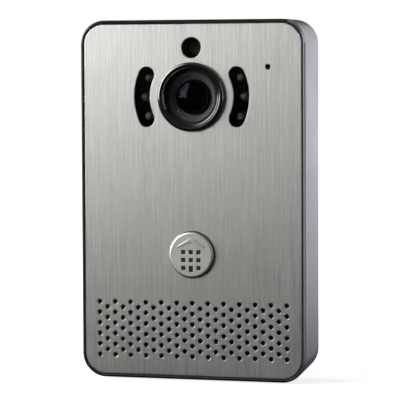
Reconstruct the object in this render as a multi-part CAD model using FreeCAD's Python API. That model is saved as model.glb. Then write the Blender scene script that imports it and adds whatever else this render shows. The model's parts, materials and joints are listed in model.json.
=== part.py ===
import FreeCAD, Part
import math
import os

# Outdoor door intercom panel: a brushed steel face on a black chassis, in a silver housing that
# hangs on a wall bracket. Millimetres. X is to the viewer's right, Z is up, Y runs into the wall.
# The origin is the centre of the wall bracket's screws, on the plane of the wall.
# "Depth" means the distance behind the front plate's face; front() turns it into a Y value.

Vector = FreeCAD.Vector

# ---- driving dimensions: the panel as a whole ----
PANEL_WIDTH = 87.0
PANEL_HEIGHT = 134.0
PANEL_DEPTH = 22.0
CORNER_RADIUS = 9.0
RIM_WIDTH = 1.0
LIP_WIDTH = 0.5
FIT = 0.05
RIM_BEVEL = 0.7
BACK_EDGE_BEVEL = 0.4
SIDE_DRAFT = 0.4
UNDERSIDE_RISE = 2.2

# ---- layers from the front face to the wall ----
PLATE_THICKNESS = 1.5
ADHESIVE_THICKNESS = 0.3
FLOOR_THICKNESS = 2.0
GASKET_THICKNESS = 0.8
LIP_RECESS = 0.35
RIM_RECESS = 0.15
HOUSING_WALL = 2.2
BACK_WALL = 2.0
BACK_RECESS = 3.2
WALL_GAP = 0.3

# ---- camera, at the top ----
CAMERA_FROM_TOP = 28.6
RING_RADIUS = 12.9
RING_OPENING = 10.3
RING_PROUD = 1.7
RING_EDGE = 1.0
RING_NECK_RADIUS = 11.8
RING_LEDGE_RADIUS = 9.2
RING_NUT_RADIUS = 14.0
RING_NUT_THICKNESS = 2.0
NUT_NOTCHES = 6
NUT_NOTCH_WIDTH = 2.4
WINDOW_THICKNESS = 1.2
WINDOW_SEAL_THICKNESS = 0.3
WINDOW_RECESS = 1.1
LENS_HEAD_RADIUS = 6.4
LENS_HEAD_LENGTH = 3.8
LENS_THREAD_RADIUS = 5.95
LENS_LENGTH = 10.2
LENS_DEPTH = 1.3
FRONT_LENS_RADIUS = 5.75
FRONT_LENS_CURVE = 16.0
FRONT_LENS_BACK_CURVE = 10.0
FRONT_LENS_CENTRE = 1.3
IRIS_RADIUS = 2.4
REAR_LENS_RADIUS = 4.2
REAR_LENS_THICKNESS = 2.0
REAR_LENS_CURVE = 9.0
HOLDER_SOCKET_RADIUS = 7.6
HOLDER_BASE = 18.0
HOLDER_BASE_HEIGHT = 4.2
SENSOR_CHIP = 8.0
SENSOR_CHIP_THICKNESS = 0.9
CAMERA_BOARD_WIDTH = 30.0
CAMERA_BOARD_HEIGHT = 36.0
CAMERA_BOARD_THICKNESS = 1.0
CAMERA_BOARD_DEPTH = 14.2

# ---- infrared lamps and light sensor round the camera ----
SLOT_RADIUS = 19.25
SLOT_WIDTH = 6.0
SLOT_HALF_ANGLE = 25.0
LAMP_HALF_ANGLE = 22.0
LAMP_RADIUS = 1.5
LAMP_FLANGE_RADIUS = 1.9
LAMP_FLANGE_THICKNESS = 0.8
LAMP_HEIGHT = 5.3
LEAD_RADIUS = 0.25
LEAD_SPACING = 2.54
SENSOR_ABOVE_CAMERA = 18.2
SENSOR_HOLE_RADIUS = 3.75
SMOKED_WINDOW_RECESS = 0.6
SMOKED_FLANGE = 1.2
SMOKED_FLANGE_THICKNESS = 1.0
SMOKED_GAP = 0.1
PHOTOCELL_RADIUS = 2.5
PHOTOCELL_HEIGHT = 2.0
LAMP_BOARD_DEPTH = 8.3
LAMP_BOARD_THICKNESS = 1.2
LAMP_BOARD_WIDTH = 46.0
LAMP_BOARD_TOP = 21.6
LAMP_BOARD_BOTTOM = 18.0
LAMP_BOARD_OPENING = 10.0
POST_ANGLE = 60.0
POST_RADIUS_OUT = 17.5
POST_BASE_RADIUS = 2.8
POST_TIP_RADIUS = 1.8
LAMP_BOSS_X = 19.5
LAMP_BOSS_FROM_TOP = 4.0

# ---- microphone ----
MIC_FROM_SIDE = 14.1
MIC_ABOVE_CAMERA = 11.0
MIC_HOLE_RADIUS = 0.9
MIC_RADIUS = 3.0
MIC_HEIGHT = 4.5
BOOT_WALL = 1.15
BOOT_FRONT = 1.0
BOOT_OVERLAP = 0.5
MIC_SOCKET_WALL = 1.0
MIC_SOCKET_HEIGHT = 4.2

# ---- call button ----
BUTTON_FROM_BOTTOM = 46.8
BUTTON_RADIUS = 8.5
BUTTON_PROUD = 1.4
BUTTON_TRAVEL = 1.0
BUTTON_GAP = 0.25
BUTTON_GUIDE_GAP = 0.1
BUTTON_EDGE = 0.7
CAP_WALL = 1.0
CAP_FRONT = 1.2
CAP_SKIRT_DEPTH = 3.0
SIGN_WINDOW = 1.6
SIGN_PITCH = 2.95
SIGN_BELOW_CENTRE = 1.95
SIGN_PEG_RECESS = 0.15
SIGN_DOOR_EXTRA = 0.7
GABLE_HALF_WIDTH = 5.2
GABLE_DROP = 3.2
GABLE_BAR = 1.4
GABLE_ABOVE_CENTRE = 6.3
GABLE_PROUD = 0.35
GUIDE_DISC_THICKNESS = 1.4
CARRIER_FLANGE = 1.3
CARRIER_FLANGE_THICKNESS = 1.2
CARRIER_FLANGE_GAP = 0.1
CARRIER_STEM_RADIUS = 1.7
CARRIER_PORT_RADIUS = 1.3
CARRIER_PORT_CIRCLE = 4.0
SPRING_RADIUS = 7.0
SPRING_WIRE = 0.4
SPRING_TURNS = 3.0
SPRING_SEAT_GAP = 0.03
RETAINER_STANDOFF = 3.8
RETAINER_THICKNESS = 1.0
RETAINER_HOLE_RADIUS = 5.5
RETAINER_BOSS_GAP = 0.9
RETAINER_EAR = 3.0
RETAINER_HEIGHT = 20.0
SWITCH_SIZE = 6.0
SWITCH_HEIGHT = 4.0
PLUNGER_RADIUS = 1.7
PLUNGER_PROUD = 1.7
PLUNGER_IN_BODY = 1.0
PLUNGER_GAP = 0.05
BUTTON_LAMP_OFFSET = 4.1

# ---- speaker and its grille ----
GRILLE_FROM_BOTTOM = 18.5
GRILLE_SIDE_MARGIN = 5.6
GRILLE_COLUMNS = 25
GRILLE_ROW_PITCH = 4.0
GRILLE_LONG_COLUMN = 6
GRILLE_HOLE_RADIUS = 0.85
SOUND_WINDOW_COLUMNS = 9
SOUND_WINDOW_HEIGHT = 23.4
SPEAKER_RADIUS = 14.0
SPEAKER_POCKET = 14.5
POCKET_WALL = 1.0
POCKET_HEIGHT = 3.6
CLOTH_THICKNESS = 0.2
SPEAKER_GASKET_THICKNESS = 0.8
SPEAKER_FLANGE_THICKNESS = 0.6
SPEAKER_FLANGE_INNER = 12.4
BASKET_WALL = 0.5
BASKET_DEPTH = 2.6
YOKE_RADIUS = 7.5
YOKE_WALL = 1.6
YOKE_HEIGHT = 2.8
YOKE_FLOOR = 0.5
MAGNET_RADIUS = 4.1
COIL_RADIUS = 4.9
COIL_WALL = 0.5
COIL_LENGTH = 2.4
CONE_RADIUS = 11.1
CONE_WALL = 0.3
CONE_RIM_DEPTH = 0.3
CONE_TRAVEL = 0.4
DOME_RISE = 0.6
STRAP_THICKNESS = 1.2
STRAP_HEIGHT = 6.0
STRAP_BOSS_X = 19.5

# ---- main board ----
BOARD_DEPTH = 12.6
BOARD_THICKNESS = 1.6
BOARD_SIDE_GAP = 4.3
BOARD_TOP_GAP = 2.8
BOARD_BOTTOM_GAP = 1.4
BOARD_CORNER_INSET = 4.5
BOARD_BOSS_RADIUS = 2.5
CAPACITOR_RADIUS = 2.9
CAPACITOR_HEIGHT = 5.5
CAPACITOR_PITCH = 6.3
CAPACITOR_TO_RETAINER = 0.8
CONNECTOR_HEIGHT = 3.6
CONNECTOR_LENGTH = 4.5
WIRE_RADIUS = 0.45
WIRE_PITCH = 2.0
RIBBON_WIDTH = 9.0
RIBBON_THICKNESS = 0.2

# ---- wiring terminals, reached from behind ----
TERMINAL_WIDTH = 24.0
TERMINAL_HEIGHT = 8.0
TERMINAL_DEPTH = 6.0
TERMINAL_WAYS = 6
TERMINAL_CENTRE_Z = 5.5
TERMINAL_WINDOW_MARGIN = 1.0
TERMINAL_WIRE_ROOM = 6.5
TERMINAL_SCREW_RADIUS = 1.3
TERMINAL_SCREW_LENGTH = 1.5
TERMINAL_ENTRY = 2.4

# ---- wall bracket and lock screw ----
BRACKET_MARGIN = 2.3
BRACKET_CORNER = 5.0
BRACKET_THICKNESS = 1.5
WALL_HOLE_X = 25.0
WALL_HOLE_Z = 45.0
WALL_HOLE_RADIUS = 2.25
BOX_SLOT_X = 30.0
BOX_SLOT_LENGTH = 7.0
BOX_SLOT_RADIUS = 2.1
CABLE_HOLE_WIDTH = 31.0
CABLE_HOLE_HEIGHT = 27.0
CABLE_HOLE_CORNER = 3.0
HOOK_X = 25.0
HOOK_HEIGHTS = (30.0, -33.0)
HOOK_WIDTH = 8.0
HOOK_FINGER = 3.0
HOOK_GAP = 0.3
HOOK_SIDE_GAP = 0.4
LIFT_TRAVEL = 3.5
LIFT_SPARE = 0.3
LANCE_LENGTH = 8.5
LOCK_SCREW_DEPTH = 15.5
LOCK_TAB_HALF_WIDTH = 5.0
LOCK_TAB_DEPTH = 13.0
LOCK_BOSS_HEIGHT = 2.4
LOCK_POCKET_WALL = 1.3
LOCK_HEAD_RADIUS = 2.75
LOCK_HEAD_HEIGHT = 1.9
LOCK_COUNTERBORE_GAP = 0.25

# ---- screws: shank radius, head radius, head height ----
M3 = (1.45, 2.75, 1.5)
M25 = (1.2, 2.25, 1.2)
M2 = (0.95, 1.8, 1.0)
THREAD_GAP = 0.05
CLEARANCE = 0.2
DRIVE_RECESS = 0.6
M2_LENGTH = 4.5
M25_LENGTH = 6.0
BOSS_RADIUS = 3.2
BOSS_INSET = 8.5
SCREW_GRIP = 7.0

# ---- sizes that follow from the ones above ----
CHASSIS_WIDTH = PANEL_WIDTH - 2 * RIM_WIDTH
CHASSIS_HEIGHT = PANEL_HEIGHT - 2 * RIM_WIDTH
CHASSIS_CORNER = CORNER_RADIUS - RIM_WIDTH
PLATE_WIDTH = CHASSIS_WIDTH - 2 * LIP_WIDTH
PLATE_HEIGHT = CHASSIS_HEIGHT - 2 * LIP_WIDTH
PLATE_CORNER = CHASSIS_CORNER - LIP_WIDTH
INNER_WIDTH = PANEL_WIDTH - 2 * HOUSING_WALL
INNER_HEIGHT = PANEL_HEIGHT - 2 * HOUSING_WALL
INNER_CORNER = CORNER_RADIUS - HOUSING_WALL

FLOOR_FRONT = PLATE_THICKNESS + ADHESIVE_THICKNESS
FLOOR_BACK = FLOOR_FRONT + FLOOR_THICKNESS
LEDGE = FLOOR_BACK + GASKET_THICKNESS
HOUSING_END = PANEL_DEPTH - WALL_GAP
BACK_WALL_OUT = HOUSING_END - BACK_RECESS
BACK_WALL_IN = BACK_WALL_OUT - BACK_WALL
BRACKET_FRONT = PANEL_DEPTH - BRACKET_THICKNESS
BOARD_BACK = BOARD_DEPTH + BOARD_THICKNESS
RETAINER_DEPTH = FLOOR_BACK + RETAINER_STANDOFF
RETAINER_BOSS_X = BUTTON_RADIUS + CARRIER_FLANGE + POST_BASE_RADIUS + RETAINER_BOSS_GAP
RETAINER_WIDTH = 2 * (RETAINER_BOSS_X + RETAINER_EAR)

CAMERA_Z = PANEL_HEIGHT / 2 - CAMERA_FROM_TOP
SENSOR_Z = CAMERA_Z + SENSOR_ABOVE_CAMERA
MIC_X = PANEL_WIDTH / 2 - MIC_FROM_SIDE
MIC_Z = CAMERA_Z + MIC_ABOVE_CAMERA
BUTTON_Z = BUTTON_FROM_BOTTOM - PANEL_HEIGHT / 2
GRILLE_Z = GRILLE_FROM_BOTTOM - PANEL_HEIGHT / 2
BOARD_TOP = CAMERA_Z - CAMERA_BOARD_HEIGHT / 2 - BOARD_TOP_GAP
BOARD_BOTTOM = GRILLE_Z + SPEAKER_POCKET + POCKET_WALL + BOARD_BOTTOM_GAP
BOARD_WIDTH = INNER_WIDTH - 2 * BOARD_SIDE_GAP
GRILLE_COLUMN_PITCH = (PLATE_WIDTH - 2 * GRILLE_SIDE_MARGIN) / (GRILLE_COLUMNS - 1)
SOUND_WINDOW_WIDTH = SOUND_WINDOW_COLUMNS * GRILLE_COLUMN_PITCH


# ---- helpers ----
def front(depth):
    """Y of a point that lies this far behind the plate's face."""
    return depth - PANEL_DEPTH


def circle(radius, x=0.0, z=0.0):
    return Part.Wire([Part.Circle(Vector(x, 0, z), Vector(0, 1, 0), radius).toShape()])


def arc_through(a, b, c):
    return Part.Arc(a, b, c).toShape()


def rounded_rectangle(width, height, corner, x=0.0, z=0.0):
    """A rounded rectangle's outline in the plane Y = 0."""
    edges = []
    half_w = width / 2 - corner
    half_h = height / 2 - corner
    quadrants = ((1, 1, 0), (-1, 1, 90), (-1, -1, 180), (1, -1, 270))
    ends = []
    for sx, sz, start in quadrants:
        centre = Vector(x + sx * half_w, 0, z + sz * half_h)
        points = []
        for turn in (0, 45, 90):
            angle = math.radians(start + turn)
            points.append(centre + Vector(corner * math.cos(angle), 0, corner * math.sin(angle)))
        edges.append(arc_through(*points))
        ends.append((points[0], points[2]))
    for i, (_, last) in enumerate(ends):
        following = ends[(i + 1) % len(ends)][0]
        if last.distanceToPoint(following) > 1e-6:
            edges.append(Part.LineSegment(last, following).toShape())
    return Part.Wire(Part.__sortEdges__(edges))


def rectangle(x0, x1, z0, z1):
    points = [Vector(x0, 0, z0), Vector(x1, 0, z0), Vector(x1, 0, z1), Vector(x0, 0, z1)]
    return Part.makePolygon(points + points[:1])


def curved_slot(side, grow=0.0):
    """The lamp slot on one side of the camera: an arc about the camera's axis with round ends."""
    centre = Vector(0, 0, CAMERA_Z)
    half = SLOT_WIDTH / 2 + grow

    def at(radius, degrees):
        angle = math.radians(degrees)
        return centre + Vector(side * radius * math.cos(angle), 0, radius * math.sin(angle))

    def cap(degrees, sense):
        angle = math.radians(degrees)
        middle = at(SLOT_RADIUS, degrees)
        along = Vector(-side * math.sin(angle), 0, math.cos(angle)) * sense
        return arc_through(at(SLOT_RADIUS + half, degrees), middle + along * half,
                           at(SLOT_RADIUS - half, degrees))

    edges = [
        arc_through(at(SLOT_RADIUS + half, -SLOT_HALF_ANGLE), at(SLOT_RADIUS + half, 0),
                    at(SLOT_RADIUS + half, SLOT_HALF_ANGLE)),
        cap(SLOT_HALF_ANGLE, 1),
        arc_through(at(SLOT_RADIUS - half, SLOT_HALF_ANGLE), at(SLOT_RADIUS - half, 0),
                    at(SLOT_RADIUS - half, -SLOT_HALF_ANGLE)),
        cap(-SLOT_HALF_ANGLE, -1),
    ]
    return Part.Wire(Part.__sortEdges__(edges))


def housing_outline(depth, inset):
    """The housing's outline at a depth, drawn in by inset. The sides draw in a little towards the
    wall, and the underside rises towards it."""
    share = max(0.0, depth - RIM_RECESS - RIM_BEVEL) / (HOUSING_END - RIM_RECESS - RIM_BEVEL)
    width = PANEL_WIDTH - 2 * (inset + share * SIDE_DRAFT)
    top = PANEL_HEIGHT / 2 - inset
    bottom = -PANEL_HEIGHT / 2 + inset + share * UNDERSIDE_RISE
    wire = rounded_rectangle(width, top - bottom, CORNER_RADIUS - inset, 0, (top + bottom) / 2)
    wire.translate(Vector(0, front(depth), 0))
    return wire


def tapered(from_depth, to_depth, from_inset, to_inset):
    return Part.makeLoft([housing_outline(from_depth, from_inset), housing_outline(to_depth, to_inset)],
                         True, True)


def slab(outline, from_depth, to_depth, holes=()):
    """A flat piece with that outline between two depths, with holes through it."""
    face = Part.makeFace([outline, *holes], "Part::FaceMakerBullseye")
    face.translate(Vector(0, front(from_depth), 0))
    return face.extrude(Vector(0, to_depth - from_depth, 0))


def disc(radius, from_depth, to_depth, x=0.0, z=0.0):
    return Part.makeCylinder(radius, to_depth - from_depth, Vector(x, front(from_depth), z),
                             Vector(0, 1, 0))


def tube(outer, inner, from_depth, to_depth, x=0.0, z=0.0):
    return slab(circle(outer, x, z), from_depth, to_depth, [circle(inner, x, z)])


def block(x0, x1, from_depth, to_depth, z0, z1):
    return Part.makeBox(x1 - x0, to_depth - from_depth, z1 - z0, Vector(x0, front(from_depth), z0))


def turned(profile, x=0.0, z=0.0):
    """A solid of revolution about the Y direction. A profile point is (radius, depth), and
    (radius, depth, "arc") is the middle of an arc from the point before to the point after."""
    def place(point):
        return Vector(x + point[0], front(point[1]), z)

    edges = []
    points = list(profile) + [profile[0]]
    i = 0
    while i < len(points) - 1:
        if len(points[i + 1]) == 3:
            edges.append(arc_through(place(points[i]), place(points[i + 1]), place(points[i + 2])))
            i += 2
        else:
            edges.append(Part.LineSegment(place(points[i]), place(points[i + 1])).toShape())
            i += 1
    face = Part.Face(Part.Wire(edges))
    return face.revolve(Vector(x, 0, z), Vector(0, 1, 0), 360)


def joined(first, *others):
    shape = first.fuse(list(others)) if others else first
    return shape.removeSplitter()


def cut(shape, *tools):
    return shape.cut(list(tools))


def mirrored_pair(build):
    """build(side) for the left (-1) and right (1) side, as a list."""
    return [build(-1), build(1)]


def screw(size, length, x, z, head_depth, drive_angle=0.0):
    """A pan head screw driven from behind: its head sits on head_depth and its shank runs forward."""
    shank_radius, head_radius, head_height = size
    shank = disc(shank_radius, head_depth - length, head_depth, x, z)
    top = head_depth + head_height
    edge = head_height / 3
    head = turned([(0, head_depth), (head_radius, head_depth), (head_radius, top - edge),
                   (head_radius - edge, top), (0, top)], x, z)
    bars = []
    for turn in (0, 90):
        bar = block(x - head_radius * 0.62, x + head_radius * 0.62, top - DRIVE_RECESS, top + 1,
                    z - 0.3, z + 0.3)
        bar.rotate(Vector(x, 0, z), Vector(0, 1, 0), drive_angle + turn)
        bars.append(bar)
    return cut(joined(shank, head), *bars)


def wire_run(points, radius):
    """A round wire: straight runs joined by tangent arcs at each inner point."""
    places = [Vector(x, front(d), z) for x, d, z in points]
    edges = []
    start = places[0]
    for before, corner, after in zip(places, places[1:], places[2:]):
        into = (corner - before)
        out = (after - corner)
        run = min(into.Length, out.Length)
        into.normalize()
        out.normalize()
        turn = math.acos(max(-1.0, min(1.0, into.dot(out))))
        arc_radius = 0.45 * run / math.tan(turn / 2)
        reach = 0.45 * run
        a = corner - into * reach
        b = corner + out * reach
        bisector = (out - into)
        bisector.normalize()
        mid = corner + bisector * (arc_radius / math.cos(turn / 2) - arc_radius)
        edges.append(Part.LineSegment(start, a).toShape())
        edges.append(arc_through(a, mid, b))
        start = b
    edges.append(Part.LineSegment(start, places[-1]).toShape())
    path = Part.Wire(edges)
    direction = places[1] - places[0]
    section = Part.Wire([Part.Circle(places[0], direction, radius).toShape()])
    return path.makePipeShell([section], True, True)


def camera_posts():
    """Centres of the four posts that carry the camera board."""
    angle = math.radians(POST_ANGLE)
    dx = POST_RADIUS_OUT * math.cos(angle)
    dz = POST_RADIUS_OUT * math.sin(angle)
    return [(sx * dx, CAMERA_Z + sz * dz) for sx in (-1, 1) for sz in (-1, 1)]


def lamp_places():
    """Centres of the six infrared lamps."""
    places = []
    for side in (-1, 1):
        for step in (-1, 0, 1):
            angle = math.radians(step * LAMP_HALF_ANGLE)
            places.append((side * SLOT_RADIUS * math.cos(angle),
                           CAMERA_Z + SLOT_RADIUS * math.sin(angle)))
    return places


def lamp_bosses():
    z = CAMERA_Z + LAMP_BOARD_TOP - LAMP_BOSS_FROM_TOP
    return [(side * LAMP_BOSS_X, z) for side in (-1, 1)]


def corner_bosses():
    dx = PANEL_WIDTH / 2 - BOSS_INSET
    dz = PANEL_HEIGHT / 2 - BOSS_INSET
    return [(sx * dx, sz * dz) for sx in (-1, 1) for sz in (-1, 1)]


def board_bosses():
    dx = BOARD_WIDTH / 2 - BOARD_CORNER_INSET
    heights = (BOARD_BOTTOM + BOARD_CORNER_INSET, BOARD_TOP - BOARD_CORNER_INSET)
    return [(sx * dx, z) for sx in (-1, 1) for z in heights]


def grille_places():
    """Centres of the sound holes: long and short columns take turns."""
    places = []
    for column in range(GRILLE_COLUMNS):
        x = (column - (GRILLE_COLUMNS - 1) / 2) * GRILLE_COLUMN_PITCH
        count = GRILLE_LONG_COLUMN - column % 2
        for row in range(count):
            places.append((x, GRILLE_Z + (row - (count - 1) / 2) * GRILLE_ROW_PITCH))
    return places


# ---- face, chassis and housing ----
def front_plate():
    holes = [circle(GRILLE_HOLE_RADIUS, x, z) for x, z in grille_places()]
    holes += [circle(RING_NECK_RADIUS + CLEARANCE, 0, CAMERA_Z),
              circle(SENSOR_HOLE_RADIUS, 0, SENSOR_Z),
              circle(MIC_HOLE_RADIUS, MIC_X, MIC_Z),
              circle(BUTTON_RADIUS + BUTTON_GAP, 0, BUTTON_Z),
              curved_slot(-1), curved_slot(1)]
    return slab(rounded_rectangle(PLATE_WIDTH, PLATE_HEIGHT, PLATE_CORNER), 0, PLATE_THICKNESS, holes)


def sound_window():
    half_w = SOUND_WINDOW_WIDTH / 2
    half_h = SOUND_WINDOW_HEIGHT / 2
    return rectangle(-half_w, half_w, GRILLE_Z - half_h, GRILLE_Z + half_h)


def plate_adhesive():
    inset = 2 * LIP_WIDTH
    holes = [circle(RING_NECK_RADIUS + 2 * CLEARANCE, 0, CAMERA_Z),
             circle(SENSOR_HOLE_RADIUS + CLEARANCE, 0, SENSOR_Z),
             circle(2 * MIC_HOLE_RADIUS, MIC_X, MIC_Z),
             circle(BUTTON_RADIUS + 2 * BUTTON_GAP, 0, BUTTON_Z),
             curved_slot(-1, CLEARANCE), curved_slot(1, CLEARANCE), sound_window()]
    outline = rounded_rectangle(PLATE_WIDTH - inset, PLATE_HEIGHT - inset, PLATE_CORNER - inset / 2)
    return slab(outline, PLATE_THICKNESS, FLOOR_FRONT, holes)


def chassis():
    outline = rounded_rectangle(CHASSIS_WIDTH, CHASSIS_HEIGHT, CHASSIS_CORNER)
    body = slab(outline, LIP_RECESS, FLOOR_BACK)
    seat = slab(rounded_rectangle(PLATE_WIDTH + 2 * FIT, PLATE_HEIGHT + 2 * FIT, PLATE_CORNER + FIT),
                0, FLOOR_FRONT)
    flange_end = FLOOR_FRONT + SMOKED_FLANGE_THICKNESS
    cuts = [seat,
            disc(RING_NECK_RADIUS + FIT, 0, FLOOR_BACK + 1, 0, CAMERA_Z),
            disc(SENSOR_HOLE_RADIUS, 0, FLOOR_BACK + 1, 0, SENSOR_Z),
            disc(SENSOR_HOLE_RADIUS + SMOKED_FLANGE + FIT, 0, flange_end, 0, SENSOR_Z),
            disc(MIC_HOLE_RADIUS, 0, FLOOR_BACK + 1, MIC_X, MIC_Z),
            disc(BUTTON_RADIUS + BUTTON_GUIDE_GAP, 0, FLOOR_BACK + 1, 0, BUTTON_Z),
            slab(sound_window(), 0, FLOOR_BACK + 1)]
    for side in (-1, 1):
        cuts.append(slab(curved_slot(side), 0, FLOOR_BACK + 1))
        cuts.append(slab(curved_slot(side, SMOKED_FLANGE + FIT), 0, flange_end))
    body = cut(body, *cuts)
    return cut(joined(body, *chassis_bosses()), *chassis_threads())


def chassis_bosses():
    """Everything that stands on the back of the chassis floor."""
    bosses = []
    for x, z in corner_bosses():
        bosses.append(disc(BOSS_RADIUS, FLOOR_BACK, BACK_WALL_IN, x, z))
    for x, z in board_bosses():
        bosses.append(disc(BOARD_BOSS_RADIUS, FLOOR_BACK, BOARD_DEPTH, x, z))
    for x, z in camera_posts():
        bosses.append(disc(POST_BASE_RADIUS, FLOOR_BACK, LAMP_BOARD_DEPTH, x, z))
        bosses.append(disc(POST_TIP_RADIUS, FLOOR_BACK, CAMERA_BOARD_DEPTH, x, z))
    for x, z in lamp_bosses():
        bosses.append(disc(POST_BASE_RADIUS, FLOOR_BACK, LAMP_BOARD_DEPTH, x, z))
    for side in (-1, 1):
        bosses.append(disc(POST_BASE_RADIUS, FLOOR_BACK, RETAINER_DEPTH, side * RETAINER_BOSS_X, BUTTON_Z))
        bosses.append(disc(POST_BASE_RADIUS, FLOOR_BACK, STRAP_DEPTH, side * STRAP_BOSS_X, GRILLE_Z))
    mic_inner = MIC_RADIUS + BOOT_WALL + FIT
    bosses.append(tube(mic_inner + MIC_SOCKET_WALL, mic_inner, FLOOR_BACK,
                       FLOOR_BACK + MIC_SOCKET_HEIGHT, MIC_X, MIC_Z))
    outer = SPEAKER_POCKET + POCKET_WALL
    pocket_end = FLOOR_BACK + POCKET_HEIGHT
    housing_floor = housing_outline(pocket_end, HOUSING_WALL).BoundBox.ZMin
    low = max(GRILLE_Z - outer, housing_floor + FIT)
    pocket = slab(rectangle(-outer, outer, low, GRILLE_Z + outer), FLOOR_BACK, pocket_end,
                  [rectangle(-SPEAKER_POCKET, SPEAKER_POCKET, GRILLE_Z - SPEAKER_POCKET,
                             GRILLE_Z + SPEAKER_POCKET)])
    notch = block(-SPEAKER_WIRE_X - 2, SPEAKER_WIRE_X + 2, SPEAKER_WIRE_DEPTH - 1.2, LAMP_BOARD_DEPTH,
                  GRILLE_Z + SPEAKER_POCKET - 1, GRILLE_Z + outer + 1)
    bosses.append(cut(pocket, notch))
    return bosses


def chassis_threads():
    """Screw holes in the chassis bosses."""
    holes = []
    for x, z in corner_bosses():
        holes.append(disc(M3[0] + THREAD_GAP, BACK_WALL_IN - SCREW_GRIP - 1, BACK_WALL_IN, x, z))
    for x, z in board_bosses():
        holes.append(disc(M25[0] + THREAD_GAP, FLOOR_BACK, BOARD_DEPTH, x, z))
    for x, z in camera_posts():
        holes.append(disc(M2[0] + THREAD_GAP, LAMP_BOARD_DEPTH, CAMERA_BOARD_DEPTH, x, z))
    for x, z in lamp_bosses():
        holes.append(disc(M2[0] + THREAD_GAP, FLOOR_BACK, LAMP_BOARD_DEPTH, x, z))
    for side in (-1, 1):
        holes.append(disc(M2[0] + THREAD_GAP, FLOOR_BACK, RETAINER_DEPTH, side * RETAINER_BOSS_X, BUTTON_Z))
        holes.append(disc(M2[0] + THREAD_GAP, FLOOR_BACK, STRAP_DEPTH, side * STRAP_BOSS_X, GRILLE_Z))
    return holes


def housing():
    bevel_end = RIM_RECESS + RIM_BEVEL
    back_bevel = HOUSING_END - BACK_EDGE_BEVEL
    body = joined(tapered(RIM_RECESS, bevel_end, RIM_BEVEL, 0), tapered(bevel_end, back_bevel, 0, 0),
                  tapered(back_bevel, HOUSING_END, 0, BACK_EDGE_BEVEL))
    mouth = rounded_rectangle(CHASSIS_WIDTH + 2 * FIT, CHASSIS_HEIGHT + 2 * FIT, CHASSIS_CORNER + FIT)
    body = cut(body, slab(mouth, 0, LEDGE), tapered(LEDGE, BACK_WALL_IN, HOUSING_WALL, HOUSING_WALL),
               tapered(BACK_WALL_OUT, HOUSING_END, HOUSING_WALL, HOUSING_WALL))
    pocket_half = LOCK_TAB_HALF_WIDTH + 2 * LIFT_SPARE
    outer_half = pocket_half + LOCK_POCKET_WALL
    pocket_top = LOCK_TAB_Z + BRACKET_THICKNESS + 2 * LIFT_SPARE
    pocket_front = LOCK_TAB_DEPTH - 2 * LIFT_SPARE
    body = joined(body, block(-outer_half, outer_half, pocket_front - LOCK_POCKET_WALL, BACK_WALL_OUT,
                              LOCK_SEAT_Z - 1, pocket_top + LOCK_POCKET_WALL))
    cuts = [block(-pocket_half, pocket_half, pocket_front, PANEL_DEPTH, LOCK_BOSS_TOP, pocket_top),
            Part.makeCylinder(LOCK_HEAD_RADIUS + LOCK_COUNTERBORE_GAP, LOCK_SEAT_Z + PANEL_HEIGHT / 2,
                              Vector(0, front(LOCK_SCREW_DEPTH), -PANEL_HEIGHT / 2)),
            Part.makeCylinder(M3[0] + CLEARANCE, LOCK_BOSS_TOP + PANEL_HEIGHT / 2,
                              Vector(0, front(LOCK_SCREW_DEPTH), -PANEL_HEIGHT / 2))]
    for x, z in corner_bosses():
        cuts.append(disc(M3[0] + CLEARANCE, BACK_WALL_IN - 1, BACK_WALL_OUT + 1, x, z))
    for hook_z in HOOK_HEIGHTS:
        for side in (-1, 1):
            half = HOOK_WIDTH / 2 + HOOK_SIDE_GAP
            middle = side * HOOK_X
            cuts.append(block(middle - half, middle + half, BACK_WALL_IN - 1, BACK_WALL_OUT + 1,
                              hook_z - LIFT_TRAVEL - LIFT_SPARE, hook_z + BRACKET_THICKNESS + FIT))
    half = TERMINAL_WIDTH / 2 + TERMINAL_WINDOW_MARGIN
    cuts.append(block(-half, half, BACK_WALL_IN - 1, BACK_WALL_OUT + 1,
                      TERMINAL_CENTRE_Z - TERMINAL_HEIGHT / 2 - TERMINAL_WIRE_ROOM,
                      TERMINAL_CENTRE_Z + TERMINAL_HEIGHT / 2 + TERMINAL_WINDOW_MARGIN))
    return cut(body, *cuts)


def housing_gasket():
    outer = rounded_rectangle(CHASSIS_WIDTH - 2 * FIT, CHASSIS_HEIGHT - 2 * FIT, CHASSIS_CORNER - FIT)
    inner = rounded_rectangle(INNER_WIDTH + 2 * FIT, INNER_HEIGHT + 2 * FIT, INNER_CORNER + FIT)
    return slab(outer, FLOOR_BACK, LEDGE, [inner])


def housing_screws():
    return [screw(M3, SCREW_GRIP + BACK_WALL, x, z, BACK_WALL_OUT, 20 + x + z)
            for x, z in corner_bosses()]


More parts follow.
